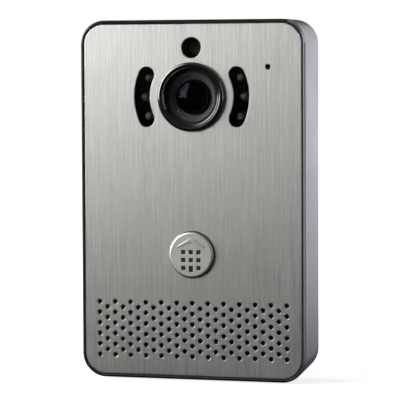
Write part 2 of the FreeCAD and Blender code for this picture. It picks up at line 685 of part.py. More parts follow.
# ---- wall bracket ----
def wall_bracket():
    """Sheet plate with four lanced hooks; its bottom edge folds forward as the lock screw's tab."""
    width = INNER_WIDTH - 2 * BRACKET_MARGIN
    top = INNER_HEIGHT / 2 - BRACKET_MARGIN
    holes = []
    for across in (-1, 1):
        for up in (-1, 1):
            holes.append(circle(WALL_HOLE_RADIUS, across * WALL_HOLE_X, up * WALL_HOLE_Z))
    for side in (-1, 1):
        holes.append(rounded_rectangle(BOX_SLOT_LENGTH, 2 * BOX_SLOT_RADIUS, BOX_SLOT_RADIUS - 1e-4,
                                       side * BOX_SLOT_X, 0))
    holes.append(rounded_rectangle(CABLE_HOLE_WIDTH, CABLE_HOLE_HEIGHT, CABLE_HOLE_CORNER))
    half = HOOK_WIDTH / 2 + HOOK_SIDE_GAP
    for hook_z in HOOK_HEIGHTS:
        for side in (-1, 1):
            middle = side * HOOK_X
            holes.append(rectangle(middle - half, middle + half, hook_z - LANCE_LENGTH, hook_z))
    outline = rounded_rectangle(width, top - LOCK_TAB_Z, BRACKET_CORNER, 0, (top + LOCK_TAB_Z) / 2)
    plate = slab(outline, BRACKET_FRONT, PANEL_DEPTH, holes)
    pieces = []
    finger_back = BACK_WALL_IN - HOOK_GAP
    finger_front = finger_back - BRACKET_THICKNESS
    for hook_z in HOOK_HEIGHTS:
        for side in (-1, 1):
            x0 = side * HOOK_X - HOOK_WIDTH / 2
            x1 = x0 + HOOK_WIDTH
            neck_top = hook_z + BRACKET_THICKNESS
            pieces.append(block(x0, x1, finger_front, PANEL_DEPTH, hook_z, neck_top))
            pieces.append(block(x0, x1, finger_front, finger_back, hook_z, neck_top + HOOK_FINGER))
    pieces.append(block(-LOCK_TAB_HALF_WIDTH, LOCK_TAB_HALF_WIDTH, LOCK_TAB_DEPTH, PANEL_DEPTH,
                        LOCK_TAB_Z, LOCK_TAB_Z + BRACKET_THICKNESS))
    thread = Part.makeCylinder(M3[0] + THREAD_GAP, 4 * BRACKET_THICKNESS,
                               Vector(0, front(LOCK_SCREW_DEPTH), LOCK_TAB_Z - BRACKET_THICKNESS))
    return cut(joined(plate, *pieces), thread)


def lock_screw():
    """Driven upwards through the housing's bottom wall into the bracket's tab."""
    head_top = LOCK_SEAT_Z
    tip = LOCK_TAB_Z + BRACKET_THICKNESS + LIFT_SPARE
    place = Vector(0, front(LOCK_SCREW_DEPTH), head_top)
    shank = Part.makeCylinder(M3[0], tip - head_top, place)
    head_base = Vector(0, front(LOCK_SCREW_DEPTH), head_top - LOCK_HEAD_HEIGHT)
    head = Part.makeCylinder(LOCK_HEAD_RADIUS, LOCK_HEAD_HEIGHT, head_base)
    socket = Part.makePolygon([head_base + Vector(1.2 * math.cos(math.radians(a)),
                                                  1.2 * math.sin(math.radians(a)), 0)
                               for a in range(0, 361, 60)])
    pin = Part.makeCylinder(0.4, 1.2, head_base)
    drive = cut(Part.Face(socket).extrude(Vector(0, 0, 1.2)), pin)
    return cut(joined(shank, head), drive)


# ---- camera ----
def camera_ring():
    """Turned bezel: a rounded outer band, a fine groove and a bevelled inner lip, on a threaded neck."""
    crest = -RING_PROUD
    slant = RING_EDGE * math.sqrt(0.5)
    groove_out = RING_RADIUS - 1.75
    groove_in = groove_out - 0.3
    ledge = WINDOW_RECESS - RING_PROUD + WINDOW_THICKNESS + WINDOW_SEAL_THICKNESS
    return turned([
        (RING_NECK_RADIUS, 0), (RING_RADIUS, 0), (RING_RADIUS, crest + RING_EDGE),
        (RING_RADIUS - RING_EDGE + slant, crest + RING_EDGE - slant, "arc"),
        (RING_RADIUS - RING_EDGE, crest),
        (groove_out, crest + 0.15), (groove_out - 0.05, crest + 0.45), (groove_in, crest + 0.45),
        (groove_in, crest + 0.2), (RING_OPENING + 0.3, crest + 0.25),
        (RING_OPENING, crest + 0.75), (RING_OPENING, ledge), (RING_LEDGE_RADIUS, ledge),
        (RING_LEDGE_RADIUS, FLOOR_BACK + RING_NUT_THICKNESS),
        (RING_NECK_RADIUS, FLOOR_BACK + RING_NUT_THICKNESS)], 0, CAMERA_Z)


def ring_nut():
    end = FLOOR_BACK + RING_NUT_THICKNESS
    nut = tube(RING_NUT_RADIUS, RING_NECK_RADIUS + FIT, FLOOR_BACK, end, 0, CAMERA_Z)
    notches = []
    for i in range(NUT_NOTCHES):
        half = NUT_NOTCH_WIDTH / 2
        notch = block(RING_NUT_RADIUS - 1, RING_NUT_RADIUS + 1, FLOOR_BACK, FLOOR_BACK + RING_NUT_THICKNESS,
                      CAMERA_Z - half, CAMERA_Z + half)
        notch.rotate(Vector(0, 0, CAMERA_Z), Vector(0, 1, 0), i * 360 / NUT_NOTCHES)
        notches.append(notch)
    return cut(nut, *notches)


def camera_window():
    start = WINDOW_RECESS - RING_PROUD
    return disc(RING_OPENING - FIT, start, start + WINDOW_THICKNESS, 0, CAMERA_Z)


def window_seal():
    start = WINDOW_RECESS - RING_PROUD + WINDOW_THICKNESS
    return tube(RING_OPENING - FIT, RING_LEDGE_RADIUS, start, start + WINDOW_SEAL_THICKNESS, 0, CAMERA_Z)


def lens_shroud():
    """Black baffle between the ring's neck and the lens, standing on the lens holder's base."""
    outer = RING_LEDGE_RADIUS - 2 * FIT
    inner = LENS_HEAD_RADIUS + CLEARANCE
    start = 1.15
    return turned([(outer, start), (outer, HOLDER_BASE_DEPTH), (outer - 0.8, HOLDER_BASE_DEPTH),
                   (outer - 0.8, start + 1.9), (inner, start + 2.6), (inner, start + 1.7),
                   (outer - 0.3, start)], 0, CAMERA_Z)


def lens_barrel():
    head_end = LENS_DEPTH + LENS_HEAD_LENGTH
    end = LENS_DEPTH + LENS_LENGTH
    seat = LENS_DEPTH + 2.2
    iris = seat + 0.9
    return turned([
        (LENS_HEAD_RADIUS, LENS_DEPTH + 0.2), (LENS_HEAD_RADIUS, head_end), (LENS_THREAD_RADIUS, head_end),
        (LENS_THREAD_RADIUS, end), (REAR_LENS_RADIUS + FIT, end), (REAR_LENS_RADIUS + FIT, iris + 0.5),
        (IRIS_RADIUS + 0.5, iris + 0.5), (IRIS_RADIUS, iris), (FRONT_LENS_RADIUS - 1.2, seat),
        (FRONT_LENS_RADIUS + FIT, seat), (FRONT_LENS_RADIUS + FIT, LENS_DEPTH + 0.4),
        (LENS_HEAD_RADIUS - 0.25, LENS_DEPTH)], 0, CAMERA_Z)


def sagitta(curve, radius):
    return curve - math.sqrt(curve ** 2 - radius ** 2)


def front_lens():
    """A meniscus: domed to the front, hollow behind, seated on its flat rim."""
    seat = LENS_DEPTH + 2.2
    edge = LENS_DEPTH + 0.6
    apex = edge - sagitta(FRONT_LENS_CURVE, FRONT_LENS_RADIUS)
    half = FRONT_LENS_RADIUS / 2
    bowl = FRONT_LENS_RADIUS - 1.2
    back_apex = apex + FRONT_LENS_CENTRE
    back_edge = back_apex + sagitta(FRONT_LENS_BACK_CURVE, bowl)
    back_middle = back_apex + sagitta(FRONT_LENS_BACK_CURVE, bowl / 2)
    return turned([
        (0, apex), (half, apex + sagitta(FRONT_LENS_CURVE, half), "arc"), (FRONT_LENS_RADIUS, edge),
        (FRONT_LENS_RADIUS, seat), (bowl, seat), (bowl, back_edge), (bowl / 2, back_middle, "arc"),
        (0, back_apex)], 0, CAMERA_Z)


def rear_lens():
    start = LENS_DEPTH + 3.6 + CLEARANCE
    bulge = sagitta(REAR_LENS_CURVE, REAR_LENS_RADIUS)
    half = REAR_LENS_RADIUS / 2
    half_bulge = sagitta(REAR_LENS_CURVE, half)
    middle = start + bulge
    end = middle + REAR_LENS_THICKNESS
    return turned([
        (0, start), (half, start + half_bulge, "arc"), (REAR_LENS_RADIUS, middle), (REAR_LENS_RADIUS, end),
        (half, end + bulge - half_bulge, "arc"), (0, end + bulge)], 0, CAMERA_Z)


def lens_holder():
    half = HOLDER_BASE / 2
    base = block(-half, half, HOLDER_BASE_DEPTH, CAMERA_BOARD_DEPTH, CAMERA_Z - half, CAMERA_Z + half)
    socket = disc(HOLDER_SOCKET_RADIUS, LENS_DEPTH + LENS_HEAD_LENGTH + CLEARANCE, HOLDER_BASE_DEPTH,
                  0, CAMERA_Z)
    bore = disc(LENS_THREAD_RADIUS + FIT, 0, LENS_DEPTH + LENS_LENGTH + CLEARANCE, 0, CAMERA_Z)
    room = half - 2.2
    chamber = block(-room, room, LENS_DEPTH + LENS_LENGTH, CAMERA_BOARD_DEPTH,
                    CAMERA_Z - room, CAMERA_Z + room)
    return cut(joined(base, socket), bore, chamber)


def image_sensor():
    half = SENSOR_CHIP / 2
    return block(-half, half, CAMERA_BOARD_DEPTH - SENSOR_CHIP_THICKNESS, CAMERA_BOARD_DEPTH,
                 CAMERA_Z - half, CAMERA_Z + half)


def camera_board():
    half_w = CAMERA_BOARD_WIDTH / 2
    half_h = CAMERA_BOARD_HEIGHT / 2
    holes = [circle(M2[0] + CLEARANCE, x, z) for x, z in camera_posts()]
    outline = rectangle(-half_w, half_w, CAMERA_Z - half_h, CAMERA_Z + half_h)
    return slab(outline, CAMERA_BOARD_DEPTH, CAMERA_BOARD_DEPTH + CAMERA_BOARD_THICKNESS, holes)


def small_screws():
    """The ten alike screws of the camera board, the lamp board, the button retainer and the strap."""
    places = [(x, z, CAMERA_BOARD_DEPTH + CAMERA_BOARD_THICKNESS) for x, z in camera_posts()]
    places += [(x, z, LAMP_BOARD_DEPTH + LAMP_BOARD_THICKNESS) for x, z in lamp_bosses()]
    for side in (-1, 1):
        places.append((side * RETAINER_BOSS_X, BUTTON_Z, RETAINER_DEPTH + RETAINER_THICKNESS))
        places.append((side * STRAP_BOSS_X, GRILLE_Z, STRAP_DEPTH + STRAP_THICKNESS))
    return [screw(M2, M2_LENGTH, x, z, depth, 7 * x + z) for x, z, depth in places]


# ---- infrared lamps, light sensor, microphone ----
def smoked_window(inner_wire, flange_wire):
    face = slab(inner_wire, SMOKED_WINDOW_RECESS, FLOOR_FRONT + SMOKED_FLANGE_THICKNESS)
    flange = slab(flange_wire, FLOOR_FRONT, FLOOR_FRONT + SMOKED_FLANGE_THICKNESS)
    return joined(face, flange)


def lamp_window(side):
    return smoked_window(curved_slot(side, -SMOKED_GAP), curved_slot(side, SMOKED_FLANGE))


def light_sensor_window():
    return smoked_window(circle(SENSOR_HOLE_RADIUS - SMOKED_GAP, 0, SENSOR_Z),
                         circle(SENSOR_HOLE_RADIUS + SMOKED_FLANGE, 0, SENSOR_Z))


def leads(x, z, from_depth):
    half = LEAD_SPACING / 2
    end = LAMP_BOARD_DEPTH + LAMP_BOARD_THICKNESS + 1.0
    return [disc(LEAD_RADIUS, from_depth, end, x + side * half, z) for side in (-1, 1)]


def infrared_lamps():
    lamps = []
    for x, z in lamp_places():
        top = LAMP_BOARD_DEPTH - LAMP_HEIGHT
        flange = LAMP_BOARD_DEPTH - LAMP_FLANGE_THICKNESS
        slant = LAMP_RADIUS * math.sqrt(0.5)
        body = turned([(0, top), (slant, top + LAMP_RADIUS - slant, "arc"), (LAMP_RADIUS, top + LAMP_RADIUS),
                       (LAMP_RADIUS, flange), (LAMP_FLANGE_RADIUS, flange),
                       (LAMP_FLANGE_RADIUS, LAMP_BOARD_DEPTH), (0, LAMP_BOARD_DEPTH)], x, z)
        lamps.append(joined(body, *leads(x, z, flange)))
    return lamps


def light_sensor():
    body = disc(PHOTOCELL_RADIUS, LAMP_BOARD_DEPTH - PHOTOCELL_HEIGHT, LAMP_BOARD_DEPTH, 0, SENSOR_Z)
    return joined(body, *leads(0, SENSOR_Z, LAMP_BOARD_DEPTH - 1))


def lamp_board():
    half = LAMP_BOARD_WIDTH / 2
    outline = rectangle(-half, half, CAMERA_Z - LAMP_BOARD_BOTTOM, CAMERA_Z + LAMP_BOARD_TOP)
    holes = [circle(LAMP_BOARD_OPENING, 0, CAMERA_Z)]
    holes += [circle(POST_TIP_RADIUS + 2 * FIT, x, z) for x, z in camera_posts()]
    holes += [circle(M2[0] + CLEARANCE, x, z) for x, z in lamp_bosses()]
    for x, z in lamp_places() + [(0, SENSOR_Z)]:
        holes += [circle(LEAD_RADIUS + FIT, x + side * LEAD_SPACING / 2, z) for side in (-1, 1)]
    return slab(outline, LAMP_BOARD_DEPTH, LAMP_BOARD_DEPTH + LAMP_BOARD_THICKNESS, holes)


def microphone():
    start = FLOOR_BACK + BOOT_FRONT
    body = disc(MIC_RADIUS, start, start + MIC_HEIGHT, MIC_X, MIC_Z)
    pads = [disc(0.8, start + MIC_HEIGHT, start + MIC_HEIGHT + 0.3, MIC_X + side * WIRE_PITCH / 2, MIC_Z)
            for side in (-1, 1)]
    return joined(body, *pads)


def microphone_boot():
    end = FLOOR_BACK + BOOT_FRONT + MIC_HEIGHT - BOOT_OVERLAP
    sleeve = tube(MIC_RADIUS + BOOT_WALL, MIC_RADIUS + FIT / 2, FLOOR_BACK + BOOT_FRONT, end, MIC_X, MIC_Z)
    nose = tube(MIC_RADIUS + BOOT_WALL, 1.25 * MIC_HOLE_RADIUS, FLOOR_BACK, FLOOR_BACK + BOOT_FRONT,
                MIC_X, MIC_Z)
    return joined(sleeve, nose)


# ---- call button ----
def sign_windows():
    """Centre and half sizes of the nine lit windows of the house sign; the middle one below is a door."""
    places = []
    half = SIGN_WINDOW / 2
    centre_z = BUTTON_Z - SIGN_BELOW_CENTRE
    for row in (-1, 0, 1):
        for column in (-1, 0, 1):
            low = half + (SIGN_DOOR_EXTRA if (row, column) == (-1, 0) else 0)
            x = column * SIGN_PITCH
            z = centre_z + row * SIGN_PITCH
            places.append((x - half, x + half, z - low, z + half))
    return places


def gable():
    """The sign's raised roof: two sloping bars with a ridge along each."""
    apex_z = BUTTON_Z + GABLE_ABOVE_CENTRE
    face_depth = -BUTTON_PROUD
    bars = []
    for side in (-1, 1):
        foot = Vector(side * GABLE_HALF_WIDTH, 0, apex_z - GABLE_DROP)
        foot_low = foot + Vector(0, 0, -0.25 * GABLE_BAR)
        apex = Vector(0, 0, apex_z)
        apex_low = Vector(0, 0, apex_z - GABLE_BAR)
        wire = Part.makePolygon([apex, foot, foot_low, apex_low, apex])
        bars.append(slab(wire, face_depth - GABLE_PROUD, face_depth + 0.1))
    return bars


def button_cap():
    top = -BUTTON_PROUD
    edge = BUTTON_EDGE
    slant = edge * (1 - math.sqrt(0.5))
    body = turned([
        (0, top), (BUTTON_RADIUS - edge, top), (BUTTON_RADIUS - slant, top + slant, "arc"),
        (BUTTON_RADIUS, top + edge), (BUTTON_RADIUS, CAP_SKIRT_DEPTH),
        (BUTTON_RADIUS - CAP_WALL, CAP_SKIRT_DEPTH), (BUTTON_RADIUS - CAP_WALL, top + CAP_FRONT),
        (0, top + CAP_FRONT)], 0, BUTTON_Z)
    windows = [block(x0, x1, top - 1, top + CAP_FRONT + 1, z0, z1) for x0, x1, z0, z1 in sign_windows()]
    return cut(joined(body, *gable()), *windows)


def button_light_guide():
    start = CAP_FRONT - BUTTON_PROUD
    plate = disc(BUTTON_RADIUS - CAP_WALL - FIT, start, start + GUIDE_DISC_THICKNESS, 0, BUTTON_Z)
    pegs = [block(x0 + FIT, x1 - FIT, SIGN_PEG_RECESS - BUTTON_PROUD, start + 0.1, z0 + FIT, z1 - FIT)
            for x0, x1, z0, z1 in sign_windows()]
    return joined(plate, *pegs)


def button_carrier():
    """Plastic piston in the cap's skirt. Its flange stops behind the chassis floor, and its stem
    works the switch."""
    start = CAP_FRONT - BUTTON_PROUD + GUIDE_DISC_THICKNESS
    flange = FLOOR_BACK + CARRIER_FLANGE_GAP
    end = flange + CARRIER_FLANGE_THICKNESS
    neck = BUTTON_RADIUS - CAP_WALL - FIT
    body = turned([
        (0, start), (neck, start), (neck, flange), (BUTTON_RADIUS + CARRIER_FLANGE, flange),
        (BUTTON_RADIUS + CARRIER_FLANGE, end), (CARRIER_STEM_RADIUS, end),
        (CARRIER_STEM_RADIUS, PLUNGER_TOP - PLUNGER_GAP), (0, PLUNGER_TOP - PLUNGER_GAP)], 0, BUTTON_Z)
    ports = []
    for turn in range(4):
        angle = math.radians(45 + 90 * turn)
        ports.append(disc(CARRIER_PORT_RADIUS, start - 1, end + 1, CARRIER_PORT_CIRCLE * math.cos(angle),
                          BUTTON_Z + CARRIER_PORT_CIRCLE * math.sin(angle)))
    return cut(body, *ports)


def button_spring():
    """A coil spring of round wire, its path a smooth curve through points of the helix."""
    low = FLOOR_BACK + CARRIER_FLANGE_GAP + CARRIER_FLANGE_THICKNESS + SPRING_WIRE / 2 + SPRING_SEAT_GAP
    high = RETAINER_DEPTH - SPRING_WIRE / 2 - SPRING_SEAT_GAP
    steps = int(SPRING_TURNS * 10)
    points = []
    for i in range(steps + 1):
        angle = 2 * math.pi * SPRING_TURNS * i / steps
        points.append(Vector(SPRING_RADIUS * math.cos(angle), front(low + (high - low) * i / steps),
                             BUTTON_Z + SPRING_RADIUS * math.sin(angle)))
    curve = Part.BSplineCurve()
    curve.interpolate(points)
    path = Part.Wire([curve.toShape()])
    section = Part.Wire([Part.Circle(points[0], curve.tangent(0)[0], SPRING_WIRE / 2).toShape()])
    return path.makePipeShell([section], True, False)


def button_retainer():
    half_w = RETAINER_WIDTH / 2
    half_h = RETAINER_HEIGHT / 2
    holes = [circle(RETAINER_HOLE_RADIUS, 0, BUTTON_Z)]
    holes += [circle(M2[0] + CLEARANCE, side * RETAINER_BOSS_X, BUTTON_Z) for side in (-1, 1)]
    outline = rounded_rectangle(2 * half_w, 2 * half_h, 3.0, 0, BUTTON_Z)
    return slab(outline, RETAINER_DEPTH, RETAINER_DEPTH + RETAINER_THICKNESS, holes)


def switch_body():
    half = SWITCH_SIZE / 2
    body = block(-half, half, BOARD_DEPTH - SWITCH_HEIGHT, BOARD_DEPTH, BUTTON_Z - half, BUTTON_Z + half)
    bottom = SWITCH_TOP + PLUNGER_IN_BODY + BUTTON_TRAVEL + CLEARANCE
    well = disc(PLUNGER_RADIUS + 2 * FIT, 0, bottom, 0, BUTTON_Z)
    return cut(body, well)


def switch_plunger():
    return disc(PLUNGER_RADIUS, PLUNGER_TOP, SWITCH_TOP + PLUNGER_IN_BODY, 0, BUTTON_Z)


def button_lamps():
    """Two small lamps on the main board that light the sign."""
    x = BUTTON_LAMP_OFFSET + 0.6
    return [block(side * x - 0.6, side * x + 0.6, BOARD_DEPTH - 0.8, BOARD_DEPTH, BUTTON_Z - 1, BUTTON_Z + 1)
            for side in (-1, 1)]


# ---- speaker ----
def grille_cloth():
    half = SPEAKER_POCKET - 2 * FIT
    outline = rectangle(-half, half, GRILLE_Z - half, GRILLE_Z + half)
    return slab(outline, FLOOR_BACK, FLOOR_BACK + CLOTH_THICKNESS)


def speaker_gasket():
    half = SPEAKER_POCKET - 2 * FIT
    start = FLOOR_BACK + CLOTH_THICKNESS
    return slab(rectangle(-half, half, GRILLE_Z - half, GRILLE_Z + half), start,
                start + SPEAKER_GASKET_THICKNESS, [circle(SPEAKER_FLANGE_INNER, 0, GRILLE_Z)])


def speaker_frame():
    flange = SPEAKER_DEPTH + SPEAKER_FLANGE_THICKNESS
    floor = SPEAKER_DEPTH + BASKET_DEPTH
    foot = YOKE_RADIUS + 1.6
    return turned([
        (SPEAKER_RADIUS, SPEAKER_DEPTH), (SPEAKER_RADIUS, flange), (SPEAKER_RADIUS - 0.6, flange),
        (foot + BASKET_WALL, floor), (YOKE_RADIUS + FIT, floor), (YOKE_RADIUS + FIT, floor - BASKET_WALL),
        (foot, floor - BASKET_WALL), (SPEAKER_FLANGE_INNER, flange),
        (SPEAKER_FLANGE_INNER, SPEAKER_DEPTH)], 0, GRILLE_Z)


def speaker_yoke():
    start = STRAP_DEPTH - YOKE_HEIGHT
    inner = YOKE_RADIUS - YOKE_WALL
    return turned([
        (YOKE_RADIUS, start), (YOKE_RADIUS, STRAP_DEPTH), (0, STRAP_DEPTH), (0, STRAP_DEPTH - YOKE_FLOOR),
        (inner, STRAP_DEPTH - YOKE_FLOOR), (inner, start)], 0, GRILLE_Z)


def speaker_magnet():
    return disc(MAGNET_RADIUS, STRAP_DEPTH - YOKE_HEIGHT, STRAP_DEPTH - YOKE_FLOOR, 0, GRILLE_Z)


def speaker_cone():
    """Cone and dust dome in one thin shell."""
    rim = SPEAKER_DEPTH + CONE_RIM_DEPTH
    throat = CONE_THROAT_DEPTH
    wall = CONE_WALL
    inner = COIL_RADIUS - COIL_WALL
    front_apex = throat - wall - DOME_RISE
    dome_curve = (inner ** 2 + DOME_RISE ** 2) / (2 * DOME_RISE)
    middle = front_apex + sagitta(dome_curve, inner / 2)
    return turned([
        (0, front_apex), (inner / 2, middle, "arc"), (inner, throat - wall), (COIL_RADIUS, throat - wall),
        (CONE_RADIUS, rim), (CONE_RADIUS, rim + wall), (COIL_RADIUS, throat), (inner, throat),
        (inner / 2, middle + wall, "arc"), (0, front_apex + wall)], 0, GRILLE_Z)


def voice_coil():
    return tube(COIL_RADIUS, COIL_RADIUS - COIL_WALL, CONE_THROAT_DEPTH,
                CONE_THROAT_DEPTH + COIL_LENGTH, 0, GRILLE_Z)


def speaker_surround():
    rim = SPEAKER_DEPTH + CONE_RIM_DEPTH
    inner = CONE_RADIUS + FIT
    outer = SPEAKER_FLANGE_INNER - FIT
    middle = (inner + outer) / 2
    return turned([
        (inner, rim), (middle, rim - 0.35, "arc"), (outer, rim), (outer, rim + 0.2),
        (middle, rim - 0.15, "arc"), (inner, rim + 0.2)], 0, GRILLE_Z)


def speaker_strap():
    end = STRAP_BOSS_X + POST_BASE_RADIUS
    holes = [circle(M2[0] + CLEARANCE, side * STRAP_BOSS_X, GRILLE_Z) for side in (-1, 1)]
    outline = rounded_rectangle(2 * end, STRAP_HEIGHT, 2.0, 0, GRILLE_Z)
    return slab(outline, STRAP_DEPTH, STRAP_DEPTH + STRAP_THICKNESS, holes)


# ---- main board and what is on it ----
def main_board():
    half = BOARD_WIDTH / 2
    holes = [circle(M25[0] + CLEARANCE, x, z) for x, z in board_bosses()]
    return slab(rectangle(-half, half, BOARD_BOTTOM, BOARD_TOP), BOARD_DEPTH, BOARD_BACK, holes)


def main_board_screws():
    return [screw(M25, M25_LENGTH, x, z, BOARD_BACK, 5 * z) for x, z in board_bosses()]


def on_board(x, z, width, height, thickness):
    """A block on the front of the main board."""
    return block(x - width / 2, x + width / 2, BOARD_DEPTH - thickness, BOARD_DEPTH,
                 z - height / 2, z + height / 2)


def board_chips():
    """Processor, memory, power controller and audio chip."""
    middle = (BOARD_TOP + BUTTON_Z) / 2
    return [on_board(-14, middle + 1, 12, 12, 1.2), on_board(-26.5, middle + 1, 8, 12, 1.0),
            on_board(5, middle - 4, 5, 5, 0.9), on_board(-22, BUTTON_Z + 2, 5, 6, 1.4)]


def wifi_module():
    """Radio module: its own small board with a soldered screening can."""
    middle = (BOARD_TOP + BUTTON_Z) / 2
    board = on_board(24, middle - 6, 15, 18, 0.8)
    can = on_board(24, middle - 7.5, 13, 14, 2.6)
    return joined(board, can)


def capacitors():
    near = RETAINER_WIDTH / 2 + CAPACITOR_TO_RETAINER + CAPACITOR_RADIUS
    places = ((near + CAPACITOR_PITCH, BUTTON_Z - 2), (near, BUTTON_Z - 4.5), (-31, BUTTON_Z + 4))
    front_end = BOARD_DEPTH - CAPACITOR_HEIGHT
    return [disc(CAPACITOR_RADIUS, front_end, BOARD_DEPTH, x, z) for x, z in places]


def power_inductor():
    return on_board(-22, BUTTON_Z - 6, 7, 7, 3.0)


def connectors():
    """Wire sockets for the speaker, the microphone and the lamp board, and two ribbon sockets."""
    z = BOARD_TOP - CONNECTOR_LENGTH / 2 - 1.0
    speaker_z = BOARD_BOTTOM + CONNECTOR_LENGTH / 2 + 1.0
    ribbon = RIBBON_WIDTH + 2
    camera_bottom = CAMERA_Z - CAMERA_BOARD_HEIGHT / 2
    return [on_board(0, speaker_z, 7.0, CONNECTOR_LENGTH, CONNECTOR_HEIGHT),
            on_board(MIC_PLUG_X, z, 6.0, CONNECTOR_LENGTH, CONNECTOR_HEIGHT),
            on_board(LAMP_PLUG_X, z, 8.0, CONNECTOR_LENGTH, CONNECTOR_HEIGHT),
            block(-ribbon / 2, ribbon / 2, BOARD_DEPTH - 1.6, BOARD_DEPTH, BOARD_TOP - 5, BOARD_TOP - 1.5),
            block(-ribbon / 2, ribbon / 2, CAMERA_BOARD_DEPTH - 1.6, CAMERA_BOARD_DEPTH,
                  camera_bottom + 0.8, camera_bottom + 4.2)]


def terminal_block():
    half = TERMINAL_WIDTH / 2
    end = BOARD_BACK + TERMINAL_DEPTH
    low = TERMINAL_CENTRE_Z - TERMINAL_HEIGHT / 2
    body = block(-half, half, BOARD_BACK, end, low, low + TERMINAL_HEIGHT)
    pitch = TERMINAL_WIDTH / TERMINAL_WAYS
    cuts = []
    for i in range(TERMINAL_WAYS):
        x = (i - (TERMINAL_WAYS - 1) / 2) * pitch
        cuts.append(disc(TERMINAL_SCREW_RADIUS + FIT, end - TERMINAL_SCREW_LENGTH - 0.5, end,
                         x, TERMINAL_SCREW_Z))
        mouth = TERMINAL_ENTRY / 2
        cuts.append(block(x - mouth, x + mouth, BOARD_BACK + 0.8, BOARD_BACK + 0.8 + TERMINAL_ENTRY,
                          low, low + 3.0))
    return cut(body, *cuts)


def terminal_screws():
    end = BOARD_BACK + TERMINAL_DEPTH
    pitch = TERMINAL_WIDTH / TERMINAL_WAYS
    screws = []
    for i in range(TERMINAL_WAYS):
        x = (i - (TERMINAL_WAYS - 1) / 2) * pitch
        body = disc(TERMINAL_SCREW_RADIUS, end - TERMINAL_SCREW_LENGTH - 0.5, end - 0.5, x, TERMINAL_SCREW_Z)
        slot = block(x - TERMINAL_SCREW_RADIUS, x + TERMINAL_SCREW_RADIUS, end - 1.1, end,
                     TERMINAL_SCREW_Z - 0.25, TERMINAL_SCREW_Z + 0.25)
        slot.rotate(Vector(x, 0, TERMINAL_SCREW_Z), Vector(0, 1, 0), 25 * i)
        screws.append(cut(body, slot))
    return screws


# ---- wires ----
def speaker_wires():
    """From the speaker's rim to its socket on the main board."""
    plug_depth = BOARD_DEPTH - CONNECTOR_HEIGHT / 2
    plug_z = BOARD_BOTTOM + 1.0
    start_z = GRILLE_Z + SPEAKER_RADIUS - 0.7
    wires = []
    for side in (-1, 1):
        x = side * SPEAKER_WIRE_X
        points = [(x, SPEAKER_WIRE_DEPTH, start_z), (x, SPEAKER_WIRE_DEPTH, start_z + 1.6),
                  (x, plug_depth, plug_z - 1.6), (x, plug_depth, plug_z)]
        wires.append(wire_run(points, WIRE_RADIUS))
    return wires


def microphone_wires():
    """From the back of the capsule down to its socket on the main board."""
    start = FLOOR_BACK + BOOT_FRONT + MIC_HEIGHT + 0.3
    plug_depth = BOARD_DEPTH - CONNECTOR_HEIGHT / 2
    plug_z = BOARD_TOP - 1.0
    wires = []
    for side in (-1, 1):
        x0 = MIC_X + side * WIRE_PITCH / 2
        x1 = MIC_PLUG_X + side * WIRE_PITCH / 2
        points = [(x0, start, MIC_Z), (x0, start + 2.4, MIC_Z), (x0, start + 2.6, MIC_Z - 5.0),
                  (x0 - 0.6, start + 2.2, MIC_Z - 12.0), (x1 + 0.8, start + 1.6, MIC_Z - 20.0),
                  (x1, plug_depth, plug_z + 6.0), (x1, plug_depth, plug_z)]
        wires.append(wire_run(points, WIRE_RADIUS))
    return wires


def lamp_board_wires():
    """Three short wires from the lamp board's lower edge to the main board."""
    start = LAMP_BOARD_DEPTH + LAMP_BOARD_THICKNESS
    plug_depth = BOARD_DEPTH - CONNECTOR_HEIGHT / 2
    plug_z = BOARD_TOP - 1.0
    top_z = CAMERA_Z - LAMP_BOARD_BOTTOM + 2.0
    wires = []
    for step in (-1, 0, 1):
        x = LAMP_PLUG_X + step * WIRE_PITCH
        points = [(x, start, top_z), (x, start + 1.4, top_z), (x, start + 1.4, top_z - 2.6),
                  (x, plug_depth, plug_z + 1.4), (x, plug_depth, plug_z)]
        wires.append(wire_run(points, WIRE_RADIUS))
    return wires


def camera_ribbon():
    """Flat cable from the camera board down to the main board, in an easy S."""
    half = RIBBON_WIDTH / 2
    top_depth = CAMERA_BOARD_DEPTH - 0.8
    low_depth = BOARD_DEPTH - 0.8
    top_z = CAMERA_Z - CAMERA_BOARD_HEIGHT / 2 + 0.8
    low_z = BOARD_TOP - 1.5
    lean = (top_z - low_z) / 4
    poles = [Vector(-half, front(top_depth), top_z), Vector(-half, front(top_depth), top_z - lean),
             Vector(-half, front(low_depth), low_z + lean), Vector(-half, front(low_depth), low_z)]
    curve = Part.BezierCurve()
    curve.setPoles(poles)
    upper = curve.toShape()
    lower = upper.copy()
    lower.translate(Vector(0, RIBBON_THICKNESS, 0))
    ends = []
    for turn in (upper.FirstParameter, upper.LastParameter):
        ends.append(Part.LineSegment(upper.valueAt(turn), lower.valueAt(turn)).toShape())
    profile = Part.Face(Part.Wire(Part.__sortEdges__([upper, lower, *ends])))
    return profile.extrude(Vector(RIBBON_WIDTH, 0, 0))


